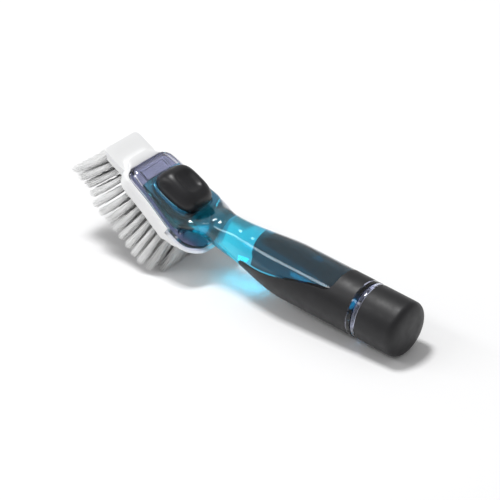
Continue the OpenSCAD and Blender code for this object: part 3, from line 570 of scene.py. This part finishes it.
def base_plate():
    """Plate under the head: rim plan and step, with the catch pocket's ribs and the valve's well."""
    half, wall = 10.0, 1.2
    low = -FLANGE_T - BASE_T
    edge = ((1.2, -FLANGE_T - HAIR), (1.2, low + 0.3), (1.5, low))
    plate = plan_loft("head_plate", [(grown(HEAD_PLAN, -inset), w) for inset, w in edge])
    cut(plate, prism(grown(OPENING, -0.05), low + 1, -0.3), "UNION")
    cut(plate, box_tool(POCKET_U - wall, POCKET_U + POCKET_LEN + wall, half + wall, low + 0.4, 0.8), "UNION")
    cut(plate, box_tool(POCKET_U, POCKET_U + POCKET_LEN, half, low - 1, -0.4))
    cut(plate, disc(WELL_R, low - 1, 3))
    return smooth(cut(plate, disc(SEAT_R, -0.4, 3)))


def grip():
    """Soft sleeve: the body's own outside less its wall, kept where the window's side view covers it."""
    sleeve = closed_loft("soft_grip", to_row(body_rings(0, -HAIR, 0, LOFT_U)))
    cut(sleeve, grip_region(0.05), "INTERSECT")
    inside = closed_loft("tool", to_row(body_rings(-1, GRIP_WALL - HAIR, 1, LOFT_U - 1)))
    return smooth(cut(sleeve, inside))


# Button: (share of the plan, share of the drop, share of the dish) outside and inside
CROWN = np.array([[0.0, 0, 1], [0.12, 0, 0.985], [0.22, 0, 0.93], [0.30, 0, 0.80], [0.36, 0, 0.6],
    [0.42, 0, 0.34], [0.46, 0, 0.17], [0.50, 0.003, 0.05], [0.54, 0.012, 0], [0.64, 0.07, 0], [0.76, 0.2, 0],
    [0.87, 0.42, 0], [0.945, 0.66, 0], [0.985, 0.84, 0], [1.0, 1.0, 0]])
CORE = np.array([[0.6, 0, 0], [0.74, 0.05, 0], [0.86, 0.25, 0], [0.94, 0.5, 0], [0.985, 0.8, 0], [1, 1, 0]])


def button():
    """Cap of the button: shares s of the plan fall from the crown by drop(s) and sink by dish(s);
    then the skirt, and back up the inside."""
    skirt = MOAT_FLOOR + TRAVEL + GAP
    side_w = skirt + 2.8
    inner_top = 13.2

    def row(plan, top, drop, dish):
        slope = mix(0.03, 0.12, drop)
        w = mix(top, side_w, drop) - DISH * dish + slope * (plan[:, 0] - VALVE_U)
        return head_to_row(plan[:, 0], plan[:, 1], w)

    s = np.concatenate([np.linspace(0.012, 0.94, 40), np.linspace(0.95, 1, 12)])
    drop = flowing(s, CROWN[:, [0, 1]])
    dish = flowing(s, CROWN[:, [0, 2]])
    outer = [row(button_plan(a), BUTTON_TOP - 0.1, b, c) for a, b, c in zip(s, drop, dish)]
    edge = button_plan(1)
    outer += [head_to_row(edge[:, 0], edge[:, 1], w) for w in (skirt + 0.4, skirt)]
    inner = [row(button_plan(a, -SKIN_T), inner_top, b, 0) for a, b, _ in CORE]
    low = button_plan(1, -SKIN_T)
    inner = [head_to_row(low[:, 0], low[:, 1], skirt)] + inner[::-1]
    return smooth(merged(closed_loft("button_cap", np.stack(outer + inner))), 50)


SPRING_BASE = 4.4


def spring():
    """Wire carried along a helix: p(a) = R (cos a, sin a) rising evenly; each section is a circle
    in the plane across the helix's direction."""
    turns, radius, wire, length = 4.5, 3.9, 0.45, 7.2
    a = np.linspace(0, 2 * np.pi * turns, int(turns * 28))
    rise = (length - 2 * wire) / (2 * np.pi * turns)
    u, y, w = VALVE_U + radius * np.cos(a), radius * np.sin(a), SPRING_BASE + wire + rise * a
    out = np.stack([np.cos(a), np.sin(a), 0 * a], -1)
    along = np.stack([-radius * np.sin(a), radius * np.cos(a), rise + 0 * a], -1)
    along /= np.linalg.norm(along, axis=1, keepdims=True)
    side = np.cross(along, out)
    k = np.linspace(0, 2 * np.pi, 14, endpoint=False)
    p = (np.stack([u, y, w], -1)[:, None] + wire * (np.cos(k)[None, :, None] * out[:, None]
        + np.sin(k)[None, :, None] * side[:, None]))
    return smooth(closed_loft("button_spring", head_to_row(p[..., 0], p[..., 1], p[..., 2])), 60)


def arc(x, r, radius, start, end, n=12):
    """Points of a fillet about (x, r), from one angle to another."""
    a = np.radians(np.linspace(start, end, n))
    return np.stack([x + radius * np.sin(a), r + radius * np.cos(a)], -1)


def cap_pieces():
    """Turned cup with its clear ring, and soft cover whose end is (x/h)^n + (r/R)^n = 1."""
    inner, end, axis = 15.15, CAP_LEN - CAP_ROUND, 0.001
    outer = inner + LINER_WALL
    web = SPOUT_LEN + GAP / 2 + SEAL_T
    back = web + LINER_WALL
    ring, ring_end, r = HANDLE_R - 0.2, GAP + CAP_RING, 0.45
    cup = lathe("clear_cup", np.concatenate([[[web, axis], [web, inner], [GAP, inner]],
        arc(GAP + r, ring - r, r, -90, 0, 6), arc(ring_end - r, ring - r, r, 0, 90, 6),
        [[ring_end, outer], [end, outer], [end, inner], [back, inner], [back, axis]]]))
    cover_r, start, skin, inside_r, n = HANDLE_R - 0.1, ring_end + HAIR, 2.4, CAP_ROUND - 3, 3.4
    dome_r = np.sqrt(1 - np.linspace(0, 0.99995, 40) ** 2) ** 0.6
    cover = lathe("cap_cover", np.concatenate([[[CAP_LEN - skin, axis]],
        arc(CAP_LEN - skin - inside_r, inner - inside_r, inside_r, 90, 0),
        [[end, inner], [end, outer + 0.01], [start, outer + 0.01]],
        arc(start + r, cover_r - r, r, -90, 0, 6),
        np.stack([end + CAP_ROUND * (1 - dome_r**n) ** (1 / n), cover_r * dome_r], -1)]))
    return smooth(cup, 40), smooth(cover, 40)


# Plan of the lip as shares: (share of its length, share of its half width)
LIP = np.array([[0.15, 1.17], [0.3, 1.1], [0.5, 1.05], [0.7, 1.02], [0.88, 0.99], [0.95, 0.94],
    [0.985, 0.88], [1, 0.80]])
# Its corners are quarter ellipses over the last share of its length
LIP_CORNER, CORNER_FROM = 0.2, 0.88
LIP_STEPS = np.array([[0.0, 0.12], [0.2, 0.4], [0.45, 0.72], [0.62, 0.89], [0.74, 0.958],
    [0.86, 0.99], [1.0, 1.0]])
# The rear of the block, which is drawn in below
REAR_LEN, REAR_SHARE, REAR_NARROW, LIP_DRAWN_IN = 24, 0.52, 0.3, 3.5
REAR_FROM = HEAD_LEN - REAR_LEN


def under(p):
    """The outline drawn in below: behind the lip's edge, and at the rear by a share of its length."""
    u, y = p[:, 0], p[:, 1]
    front = u + LIP_DRAWN_IN * ease(-u / LIP_LEN)
    rear = REAR_FROM + REAR_SHARE * (u - REAR_FROM)
    return np.stack([np.where(u < 0, front, np.where(u > REAR_FROM, rear, u)),
        y * (1 - REAR_NARROW * ease((u - REAR_FROM) / REAR_LEN))], -1)


def block_sides():
    """Matching inner and outer points of one side of the block, from the lip's middle to the rear."""
    rim = grown(HEAD_PLAN, RIM_WALL)[:len(FINE_SHARE)]
    socket = grown(HEAD_PLAN, GAP)[:len(FINE_SHARE)]
    keep = rim[:, 0] > 0.2
    share = flowing(1 - np.linspace(0, 1, 40), LIP_STEPS)
    into_corner = ((share - CORNER_FROM) / (1 - CORNER_FROM)).clip(0, 1)
    corner_y = LIP_HALF * (1 - LIP_CORNER + LIP_CORNER * np.sqrt(1 - into_corner**2))
    x = -LIP_LEN * share
    edge_y = np.minimum(LIP_HALF * flowing(share, LIP), corner_y)
    lip = np.stack([x, edge_y], -1)
    first = np.linspace(0.25, 1, 8)[:-1]
    start = np.stack([np.full(len(first), x[0]), first * edge_y[0]], -1)
    outer = np.concatenate([start, lip, rim[keep]])
    lead = len(start) + len(lip)
    across = (np.arange(lead) + 0.5) / (lead + 0.5)
    front = np.stack([socket[0, 0] - 0.2 * (1 - across**2), socket[0, 1] * across], -1)
    inner = np.concatenate([front, socket[keep]])
    return inner, outer


def block():
    """Skin from the socket's floor over rim and lip to the underside. Between the inner point a and
    the outer point b of each ray, a ring stands at a + t (b - a); t and the height go from the lip's
    to the rim's."""
    inner, outer = block_sides()
    low = under(outer)
    u = outer[:, 0]
    lip_share = 1 - ease((u + 7) / 14)
    rear_share = ease((u - HEAD_LEN + 20) / 18)
    lip_top = RIM_TOP + 0.1 - LIP_DROP
    bottom = -BLOCK_DEPTH

    def ring(lip_t, lip_w, rim_t, rim_w):
        p = mix(inner, outer, mix(rim_t, lip_t, lip_share)[:, None])
        return np.concatenate([p, mix(rim_w, lip_w, lip_share)[:, None]], -1)

    fillet = [ring(0.29 + 0.2 * (1 - np.cos(a)), mix(RIM_TOP - 0.4, lip_top, np.sin(a)),
        0.30 + 0.16 * a / 1.57, RIM_TOP - 0.05 - 0.3 * a / 1.57) for a in np.linspace(0.05, np.pi / 2, 9)]
    rings = [ring(0, DECK_W, 0, DECK_W), ring(0, RIM_TOP - 0.2, 0, RIM_TOP - 0.2),
        ring(0.04, RIM_TOP, 0.06, RIM_TOP), ring(0.2, RIM_TOP, 0.22, RIM_TOP)] + fillet + [
        ring(0.7, lip_top, 0.52, RIM_TOP - 0.55), ring(0.95, lip_top, 0.66, RIM_TOP - 1.0),
        ring(0.985, lip_top - 0.08, 0.8, RIM_TOP - 1.7), ring(1, lip_top - 0.4, 0.96, RIM_TOP - 3.2)]

    def low_ring(t, w_mid, w_rear, w_lip):
        w = mix(mix(w_mid, w_rear, rear_share), w_lip, lip_share)
        return np.concatenate([mix(low, outer, t), w[:, None]], -1)

    rings += [low_ring(0.8, bottom + 2.0, DECK_W - 0.9, lip_top - LIP_T + 0.3),
        low_ring(0.62, bottom + 1.6, DECK_W - 1.6, lip_top - LIP_T),
        low_ring(0.12, bottom + 0.8, bottom + 1.2, bottom + 0.9),
        low_ring(0.02, bottom + 0.25, bottom + 0.3, bottom + 0.3), low_ring(-0.01, bottom, bottom, bottom)]
    sides = np.stack(rings)
    full = np.concatenate([sides, sides[:, ::-1] * np.array([1, -1, 1])], 1)
    made = closed_loft("brush_body", head_to_row(full[..., 0], full[..., 1], full[..., 2]))
    pin_u, above = low[-1, 0] + 0.7, 9
    cut(made, box_tool(REAR_FROM + 1, HEAD_LEN + 20, 40, RIM_TOP - RIM_NOTCH, above))
    cut(made, box_tool(pin_u - 2.2, pin_u + 20, TAB_W / 2 + GAP, bottom - 10, DECK_W + 0.2))
    cut(made, box_tool(POCKET_U + GAP, POCKET_U + POCKET_LEN - GAP, 9.7, DECK_W - 1, -0.7), "UNION")
    for radius, low_w in ((GASKET_R, DECK_W - 1.15), (OUTLET_R, -6.55), (MOUTH_R, bottom - 2)):
        cut(made, disc(radius, low_w, above))
    return smooth(made, 34)


# Tufts: rows from the side to the middle as shares of the half width, and stations from the front
ROWS = np.array([1, 0.74, 0.47, 0.19])
LAST_ROW = len(ROWS) - 1
SPACES, FRONT_STATIONS = 13, 5
LEAN_FRONT, LEAN_REAR, LEAN_SIDE = -27.0, 2.0, 10.5
ROOT_R, FAN_R, FAN_MORE, SINK, SCATTER, SUNFLOWER = 1.5, 2.7, 0.12, 0.4, 0.22, 2.39996
# How much shorter strands are than the height: all of them, and the outer row
SHORTER, ROW_SHORTER = 0.35, 0.5
# Along a strand: where its rings are, and their radius
RINGS_AT, TAPER = np.array([0.0, 0.34, 0.68, 1.0]), np.array([1.0, 1.0, 0.95, 0.7])


def tuft_places():
    """Stations along the block and rows across it, less those round the outlet."""
    _, outer = block_sides()
    low = under(outer)
    front_gap, rear_gap, side_gap, outlet_gap = 4.9, 3.9, 2.4, 6.8
    first, last = front_gap - LIP_LEN, low[-1, 0] - rear_gap
    i = np.arange(SPACES + 1)
    u = first + i * (last - first) / SPACES
    order = np.argsort(low[:, 0])
    half = np.interp(u, low[order, 0], low[order, 1])
    i, row = np.meshgrid(i, np.arange(len(ROWS)), indexing="ij")
    y = (half[i] - side_gap) * ROWS[row]
    keep = np.hypot(u[i] - VALVE_U, y) > outlet_gap
    return i[keep], row[keep], u[i[keep]], y[keep]


def strands(i, u, y, row, sign, per_tuft, radius, height, seed):
    """Bristles of the tufts at stations i: strand k starts on a small disc (sunflower spread), leans
    as its station and row say and ends on a wider disc. It bows outwards by 0.8 s + 0.2 s^2. Each is
    a tapering prism of 3 sides; sign -1 makes the other side of the brush."""
    rng = np.random.default_rng(seed)
    n = len(i) * per_tuft
    rep = np.repeat(np.arange(len(i)), per_tuft)
    k = np.tile(np.arange(per_tuft), len(i))
    ang = k * SUNFLOWER + rng.uniform(0, 6.28, len(i))[rep]
    rad = np.sqrt((k + 0.5) / per_tuft)
    lean = np.radians(mix(LEAN_FRONT, LEAN_REAR, ease(0.08 + 0.92 * i / SPACES)))[rep]
    side = np.radians(LEAN_SIDE * ROWS[row])[rep]
    outward = LAST_ROW - row[rep]
    h = (height - SHORTER - ROW_SHORTER * outward / LAST_ROW) + rng.normal(0, SCATTER, n).clip(-0.6, SHORTER)
    root = np.stack([u[rep] + ROOT_R * rad * np.cos(ang), y[rep] + ROOT_R * rad * np.sin(ang)], -1)
    fan = FAN_R + FAN_MORE * outward
    end = np.stack([u[rep] + h * np.tan(lean) + fan * rad * np.cos(ang) + rng.normal(0, SCATTER, n),
        y[rep] + h * np.tan(side) + fan * rad * np.sin(ang) + rng.normal(0, SCATTER, n)], -1)
    flow = (0.8 * RINGS_AT + 0.2 * RINGS_AT**2)[None, :, None]
    line = root[:, None] * (1 - flow) + end[:, None] * flow
    w = -BLOCK_DEPTH + SINK - (h[:, None] + SINK) * RINGS_AT
    a = np.linspace(0, 2 * np.pi, 3, endpoint=False)
    r = radius * TAPER[None, :, None]
    turn = rng.uniform(0, 6.28, n)[:, None, None]
    u = line[..., 0][..., None] + r * np.cos(a + turn)
    y = line[..., 1][..., None] + r * np.sin(a + turn)
    points = head_to_row(u, y * sign, w[..., None] + 0 * a).reshape(-1, 3)
    rings = len(TAPER)
    base = (np.arange(n) * 3 * rings)[:, None, None]
    quads = (grid_faces(rings, 3, True)[None, :, ::sign] + base).reshape(-1, 4)
    ends = np.array([[9, 10, 11], [2, 1, 0]])
    tris = (ends[None, :, ::sign] + base).reshape(-1, 3)
    return points, quads, tris


def tuft_piece(name, choose, sides, seed, settings):
    """One piece from the chosen tufts, on one side of the brush or on both."""
    i, row, u, y = tuft_places()
    keep = choose(i, row)
    parts = [strands(i[keep], u[keep], y[keep], row[keep], sign, settings.per_tuft,
        settings.strand_radius / MM, settings.bristle_height / MM, seed + (sign < 0)) for sign in sides]
    step = np.cumsum([0] + [len(p) for p, _, _ in parts])
    made = new_mesh(name, np.concatenate([p for p, _, _ in parts]),
        np.concatenate([q + s for (_, q, _), s in zip(parts, step)]),
        np.concatenate([t + s for (_, _, t), s in zip(parts, step)]))
    made.data.shade_smooth()
    return made


class WandColours(PropertyGroup):
    """Colours that a user would change."""
    soap_colour: FloatVectorProperty(name="Soap", description="Colour that light keeps in the soap",
        subtype="COLOR", size=3, min=0, max=1, default=(0.02, 0.945, 0.992))
    soap_depth: FloatProperty(name="Soap strength", description="How fast the soap takes up light, per metre",
        default=150.0, min=0, max=1000)
    rubber_colour: FloatVectorProperty(name="Rubber", description="Colour of the grip, cap and button",
        subtype="COLOR", size=3, min=0, max=1, default=(0.0075, 0.0075, 0.009))
    white_colour: FloatVectorProperty(name="White plastic", description="Colour of the brush block and tab",
        subtype="COLOR", size=3, min=0, max=1, default=(0.86, 0.865, 0.87))


class WandBristles(PropertyGroup):
    """Sizes and counts of the bristles."""
    bristle_height: FloatProperty(name="Height", description="Length below the block", default=28 * MM,
        min=20 * MM, max=32 * MM, unit="LENGTH", precision=4)
    strand_radius: FloatProperty(name="Strand radius", description="Radius of one bristle", default=0.19 * MM,
        min=0.08 * MM, max=0.3 * MM, unit="LENGTH", precision=5)
    per_tuft: IntProperty(name="Bristles in a tuft", description="Number of bristles in one tuft",
        default=72, min=12, max=90)


class WandStage(PropertyGroup):
    """Camera and light."""
    azimuth: FloatProperty(name="Azimuth", description="Direction of the camera round the wand, in degrees",
        default=39.61)
    elevation: FloatProperty(name="Elevation", description="Height of the camera, in degrees", default=31.63)
    distance: FloatProperty(name="Distance", description="From camera to target", default=2.0, unit="LENGTH")
    lens: FloatProperty(name="Lens", description="Focal length in millimetres on a 36 mm sensor", default=226.8)
    lamp_watts: FloatProperty(name="Lamp", description="Power of the soft lamp overhead", default=37.0)
    sky: FloatProperty(name="Sky", description="Strength of the even light all round", default=0.42)


def scaled(colour, by):
    """The colour times a number."""
    return tuple(min(1.0, c * by) for c in colour)


def rubber(scene, name, gloss=(0.40, 0.54)):
    """Soft black rubber in the user's colour."""
    base = tuple(scene.wand_colours.rubber_colour)
    return opaque(name, base, scaled(base, 1.5), gloss, 45.0, 1500.0, 0.00006, 0.35,
        specular=0.42, sheen=0.04)


def white_plastic(scene, name):
    """Moulded white plastic in the user's colour."""
    base = tuple(scene.wand_colours.white_colour)
    return opaque(name, scaled(base, 0.965), base, (0.30, 0.42), 50.0, 500.0, 0.00003, 0.25, subsurface=0.06)


def steel(name, gloss):
    """Drawn steel."""
    return opaque(name, (0.52, 0.53, 0.55), (0.63, 0.64, 0.66), gloss, 200.0, 2500.0, 0.00001, metallic=1.0)


def sky(strength):
    """Even white light all round; seen straight or through clear parts it is fully white."""
    world = bpy.data.worlds.new("sky")
    world.use_nodes = True
    tree = world.node_tree
    tree.nodes.clear()
    even = node(tree, "ShaderNodeBackground", Color=(1, 1, 1, 1), Strength=strength)
    bright = node(tree, "ShaderNodeBackground", Color=(1, 1, 1, 1), Strength=1.0)
    path = node(tree, "ShaderNodeLightPath")
    seen = node(tree, "ShaderNodeMath", operation="MAXIMUM")
    pick = node(tree, "ShaderNodeMixShader")
    out = node(tree, "ShaderNodeOutputWorld")
    tree.links.new(path.outputs["Is Camera Ray"], seen.inputs[0])
    tree.links.new(path.outputs["Is Transmission Ray"], seen.inputs[1])
    tree.links.new(seen.outputs[0], pick.inputs[0])
    tree.links.new(even.outputs[0], pick.inputs[1])
    tree.links.new(bright.outputs[0], pick.inputs[2])
    tree.links.new(pick.outputs[0], out.inputs["Surface"])
    return world


def lamp(scene, name, wide, high, watts, spot, turn):
    """Rectangular area lamp at a spot, turned so that it shines against the third column of turn."""
    light = bpy.data.lights.new(name, "AREA")
    light.shape = "RECTANGLE"
    light.size, light.size_y = wide, high
    light.energy = watts
    made = bpy.data.objects.new(name, light)
    made.matrix_world = Matrix.Translation(spot) @ turn.to_4x4()
    scene.collection.objects.link(made)


class PieceOperator:
    """What the operators share."""
    bl_options = {"REGISTER"}


class WAND_OT_clear_body(PieceOperator, Operator):
    """Clear handle and head, and the plate that closes the head from below"""
    bl_idname = "wand.clear_body"
    bl_label = "Clear body"

    def execute(self, context):
        shell = clear("clear_shell", (0.94, 0.943, 0.975), (0.965, 0.967, 0.99), PLASTIC_IOR, (0.0, 0.03), 0.00004,
            (0.56, 0.57, 0.71), 110.0)
        dressed(clear_body(), shell, "handle", "clear_body", "handle_shell")
        plate = clear("clear_plate", (0.40, 0.41, 0.53), (0.48, 0.49, 0.60), PLASTIC_IOR, (0.03, 0.10))
        dressed(base_plate(), plate, "handle", "clear_body", "head_base")
        return {"FINISHED"}


class WAND_OT_soap(PieceOperator, Operator):
    """Blue washing-up liquid"""
    bl_idname = "wand.soap"
    bl_label = "Soap"

    def execute(self, context):
        c = context.scene.wand_colours
        liquid = clear("soap_blue", (0.40, 0.965, 1.0), (0.47, 0.98, 1.0), SOAP_IOR, (0.0, 0.01), 0.000005,
            tuple(c.soap_colour), c.soap_depth, 0.05, (0.62, 0.70, 0.72))
        dressed(soap(), liquid, "handle", "blue_soap", "soap_fill")
        return {"FINISHED"}


class WAND_OT_grip(PieceOperator, Operator):
    """Soft black sleeve with the long window"""
    bl_idname = "wand.grip"
    bl_label = "Soft grip"

    def execute(self, context):
        dressed(grip(), rubber(context.scene, "grip_rubber"), "handle", "black_soft", "grip_sleeve")
        return {"FINISHED"}


class WAND_OT_button(PieceOperator, Operator):
    """Soft button cap with its thumb dish, the return spring and the valve's parts"""
    bl_idname = "wand.button"
    bl_label = "Button and valve"

    def execute(self, context):
        soft = rubber(context.scene, "button_rubber", (0.29, 0.40))
        dressed(button(), soft, "button", "black_soft", "button_skin")
        bright = steel("spring_steel", (0.18, 0.32))
        coil = dressed(spring(), bright, "handle", "steel", "return_spring")
        anchor = head_to_row(VALVE_U, 0.0, SPRING_BASE) * MM
        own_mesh(coil)
        pale = opaque("pale_moulding", (0.56, 0.57, 0.58), (0.63, 0.64, 0.65), (0.32, 0.46), 70.0)
        dark = opaque("dark_seal", (0.025, 0.026, 0.03), (0.045, 0.046, 0.05), (0.5, 0.65), 90.0, 1800.0)
        for name in ("button_core", "valve_stem", "button_guide"):
            keep_node(name, pale)
        for name in ("valve_seat", "stem_seal", "valve_plug"):
            keep_node(name, dark)
        keep_node("stem_clip", bright)
        return {"FINISHED"}


class WAND_OT_cap(PieceOperator, Operator):
    """End cap: clear cup with its ring, soft cover and the mouth's washer"""
    bl_idname = "wand.cap"
    bl_label = "End cap"

    def execute(self, context):
        cup, cover = cap_pieces()
        shell = clear("clear_cup", (0.74, 0.78, 0.97), (0.82, 0.85, 1.0), PLASTIC_IOR, (0.02, 0.06))
        dressed(cup, shell, "cap", "clear_body", "cap_liner")
        dressed(cover, rubber(context.scene, "cap_rubber"), "cap", "black_soft", "cap_grip")
        keep_node("cap_seal", opaque("pale_washer", (0.66, 0.66, 0.64), (0.74, 0.74, 0.72), (0.5, 0.62), 90.0))
        return {"FINISHED"}


class WAND_OT_block(PieceOperator, Operator):
    """White brush block with the scraper lip, its seals and the release tab"""
    bl_idname = "wand.block"
    bl_label = "Brush block"

    def execute(self, context):
        white = white_plastic(context.scene, "white_block")
        dressed(block(), white, "refill", "white_plastic", "brush_block")
        keep_node("release_tab", white)
        pale = opaque("pale_valve", (0.60, 0.61, 0.62), (0.68, 0.69, 0.70), (0.4, 0.55), 90.0)
        dark = opaque("dark_gasket", (0.03, 0.03, 0.033), (0.05, 0.05, 0.055), (0.5, 0.65), 90.0)
        keep_node("outlet_valve", pale)
        keep_node("inlet_gasket", dark)
        keep_node("tab_pin", steel("pin_steel", (0.2, 0.34)))
        return {"FINISHED"}


class WAND_OT_bristles(PieceOperator, Operator):
    """Bristles in tufts: front, left, right and centre"""
    bl_idname = "wand.bristles"
    bl_label = "Bristles"

    def execute(self, context):
        s = context.scene.wand_bristles
        nylon = opaque("white_nylon", (0.93, 0.935, 0.94), (0.97, 0.973, 0.975), (0.38, 0.55), 300.0, 3000.0,
            0.00001, 0.2, subsurface=0.5, milky=0.85)
        front = FRONT_STATIONS
        groups = (("front_bristles", lambda i, row: i < front, (1, -1), "bristles_front", 11),
            ("left_bristles", lambda i, row: (i >= front) & (row < 2), (1,), "bristles_left", 23),
            ("right_bristles", lambda i, row: (i >= front) & (row < 2), (-1,), "bristles_right", 37),
            ("centre_bristles", lambda i, row: (i >= front) & (row >= 2), (1, -1), "bristles_center", 51))
        for name, choose, sides, cad, seed in groups:
            dressed(tuft_piece(name, choose, sides, seed, s), nylon, "refill", "bristle", cad)
        return {"FINISHED"}


class WAND_OT_stage(PieceOperator, Operator):
    """Pale floor, soft light and the photograph's camera"""
    bl_idname = "wand.stage"
    bl_label = "Stage"

    def execute(self, context):
        scene = context.scene
        s = scene.wand_stage
        half = 4.0
        mesh = bpy.data.meshes.new("floor")
        corners = [(-half, -half, 0), (half, -half, 0), (half, half, 0), (-half, half, 0)]
        mesh.from_pydata(corners, [], [(0, 1, 2, 3)])
        floor = bpy.data.objects.new("floor", mesh)
        scene.collection.objects.link(floor)
        mesh.materials.append(opaque("pale_floor", (0.93, 0.93, 0.935), (0.945, 0.945, 0.95), (0.75, 0.85), 3.0,
            40.0, 0.00001, 0.05, specular=0.1))
        scene.world = sky(s.sky)
        target, box_reach, strip_reach, strip_watts = Vector((0.00433, 0.0, 0.02735)), 2.4, 2.0, 7.0
        up = Vector((-0.255, -0.007, 1.0)).normalized()
        lamp(scene, "soft_box", 0.6, 0.45, s.lamp_watts, target + up * box_reach,
            up.to_track_quat("Z", "Y").to_matrix())
        aim = Vector((-0.543, -0.547, 0.638)).normalized()
        side = (Vector((1, 0, 0)) - aim * aim.x).normalized()
        lamp(scene, "strip", 1.7, 0.32, strip_watts, target + aim * strip_reach,
            Matrix((side, aim.cross(side), aim)).transposed())
        view = bpy.data.cameras.new("camera")
        view.lens, view.sensor_width = s.lens, 36.0
        view.clip_start, view.clip_end = 0.05, 20.0
        camera = bpy.data.objects.new("camera", view)
        a, e = np.radians(s.azimuth), np.radians(s.elevation)
        back = Vector((np.sin(a) * np.cos(e), -np.cos(a) * np.cos(e), np.sin(e)))
        camera.location = target + back * s.distance
        camera.rotation_euler = back.to_track_quat("Z", "Y").to_euler()
        scene.collection.objects.link(camera)
        scene.camera = camera
        scene.view_settings.view_transform = "Standard"
        return {"FINISHED"}


# Names of the operators, in the order in which the pieces are made
STEPS = ("clear_body", "soap", "grip", "button", "cap", "block", "bristles", "stage")


class WAND_PT_panel(Panel):
    """Sidebar panel of the dish wand"""
    bl_idname = "WAND_PT_panel"
    bl_label = "Dish wand"
    bl_space_type = "VIEW_3D"
    bl_region_type = "UI"
    bl_category = "Dish wand"

    def draw(self, context):
        column = self.layout.column()
        for group in (context.scene.wand_colours, context.scene.wand_bristles, context.scene.wand_stage):
            for key in group.__annotations__:
                column.prop(group, key)
        for step in STEPS:
            column.operator("wand." + step)


CLASSES = (WandColours, WandBristles, WandStage, WAND_OT_clear_body, WAND_OT_soap, WAND_OT_grip,
    WAND_OT_button, WAND_OT_cap, WAND_OT_block, WAND_OT_bristles, WAND_OT_stage, WAND_PT_panel)


def register():
    for cls in CLASSES:
        bpy.utils.register_class(cls)
    bpy.types.Scene.wand_colours = PointerProperty(type=WandColours)
    bpy.types.Scene.wand_bristles = PointerProperty(type=WandBristles)
    bpy.types.Scene.wand_stage = PointerProperty(type=WandStage)


def unregister():
    del bpy.types.Scene.wand_colours
    del bpy.types.Scene.wand_bristles
    del bpy.types.Scene.wand_stage
    for cls in reversed(CLASSES):
        bpy.utils.unregister_class(cls)


def main():
    register()
    for step in STEPS:
        getattr(bpy.ops.wand, step)()


if __name__ == "__main__":
    main()
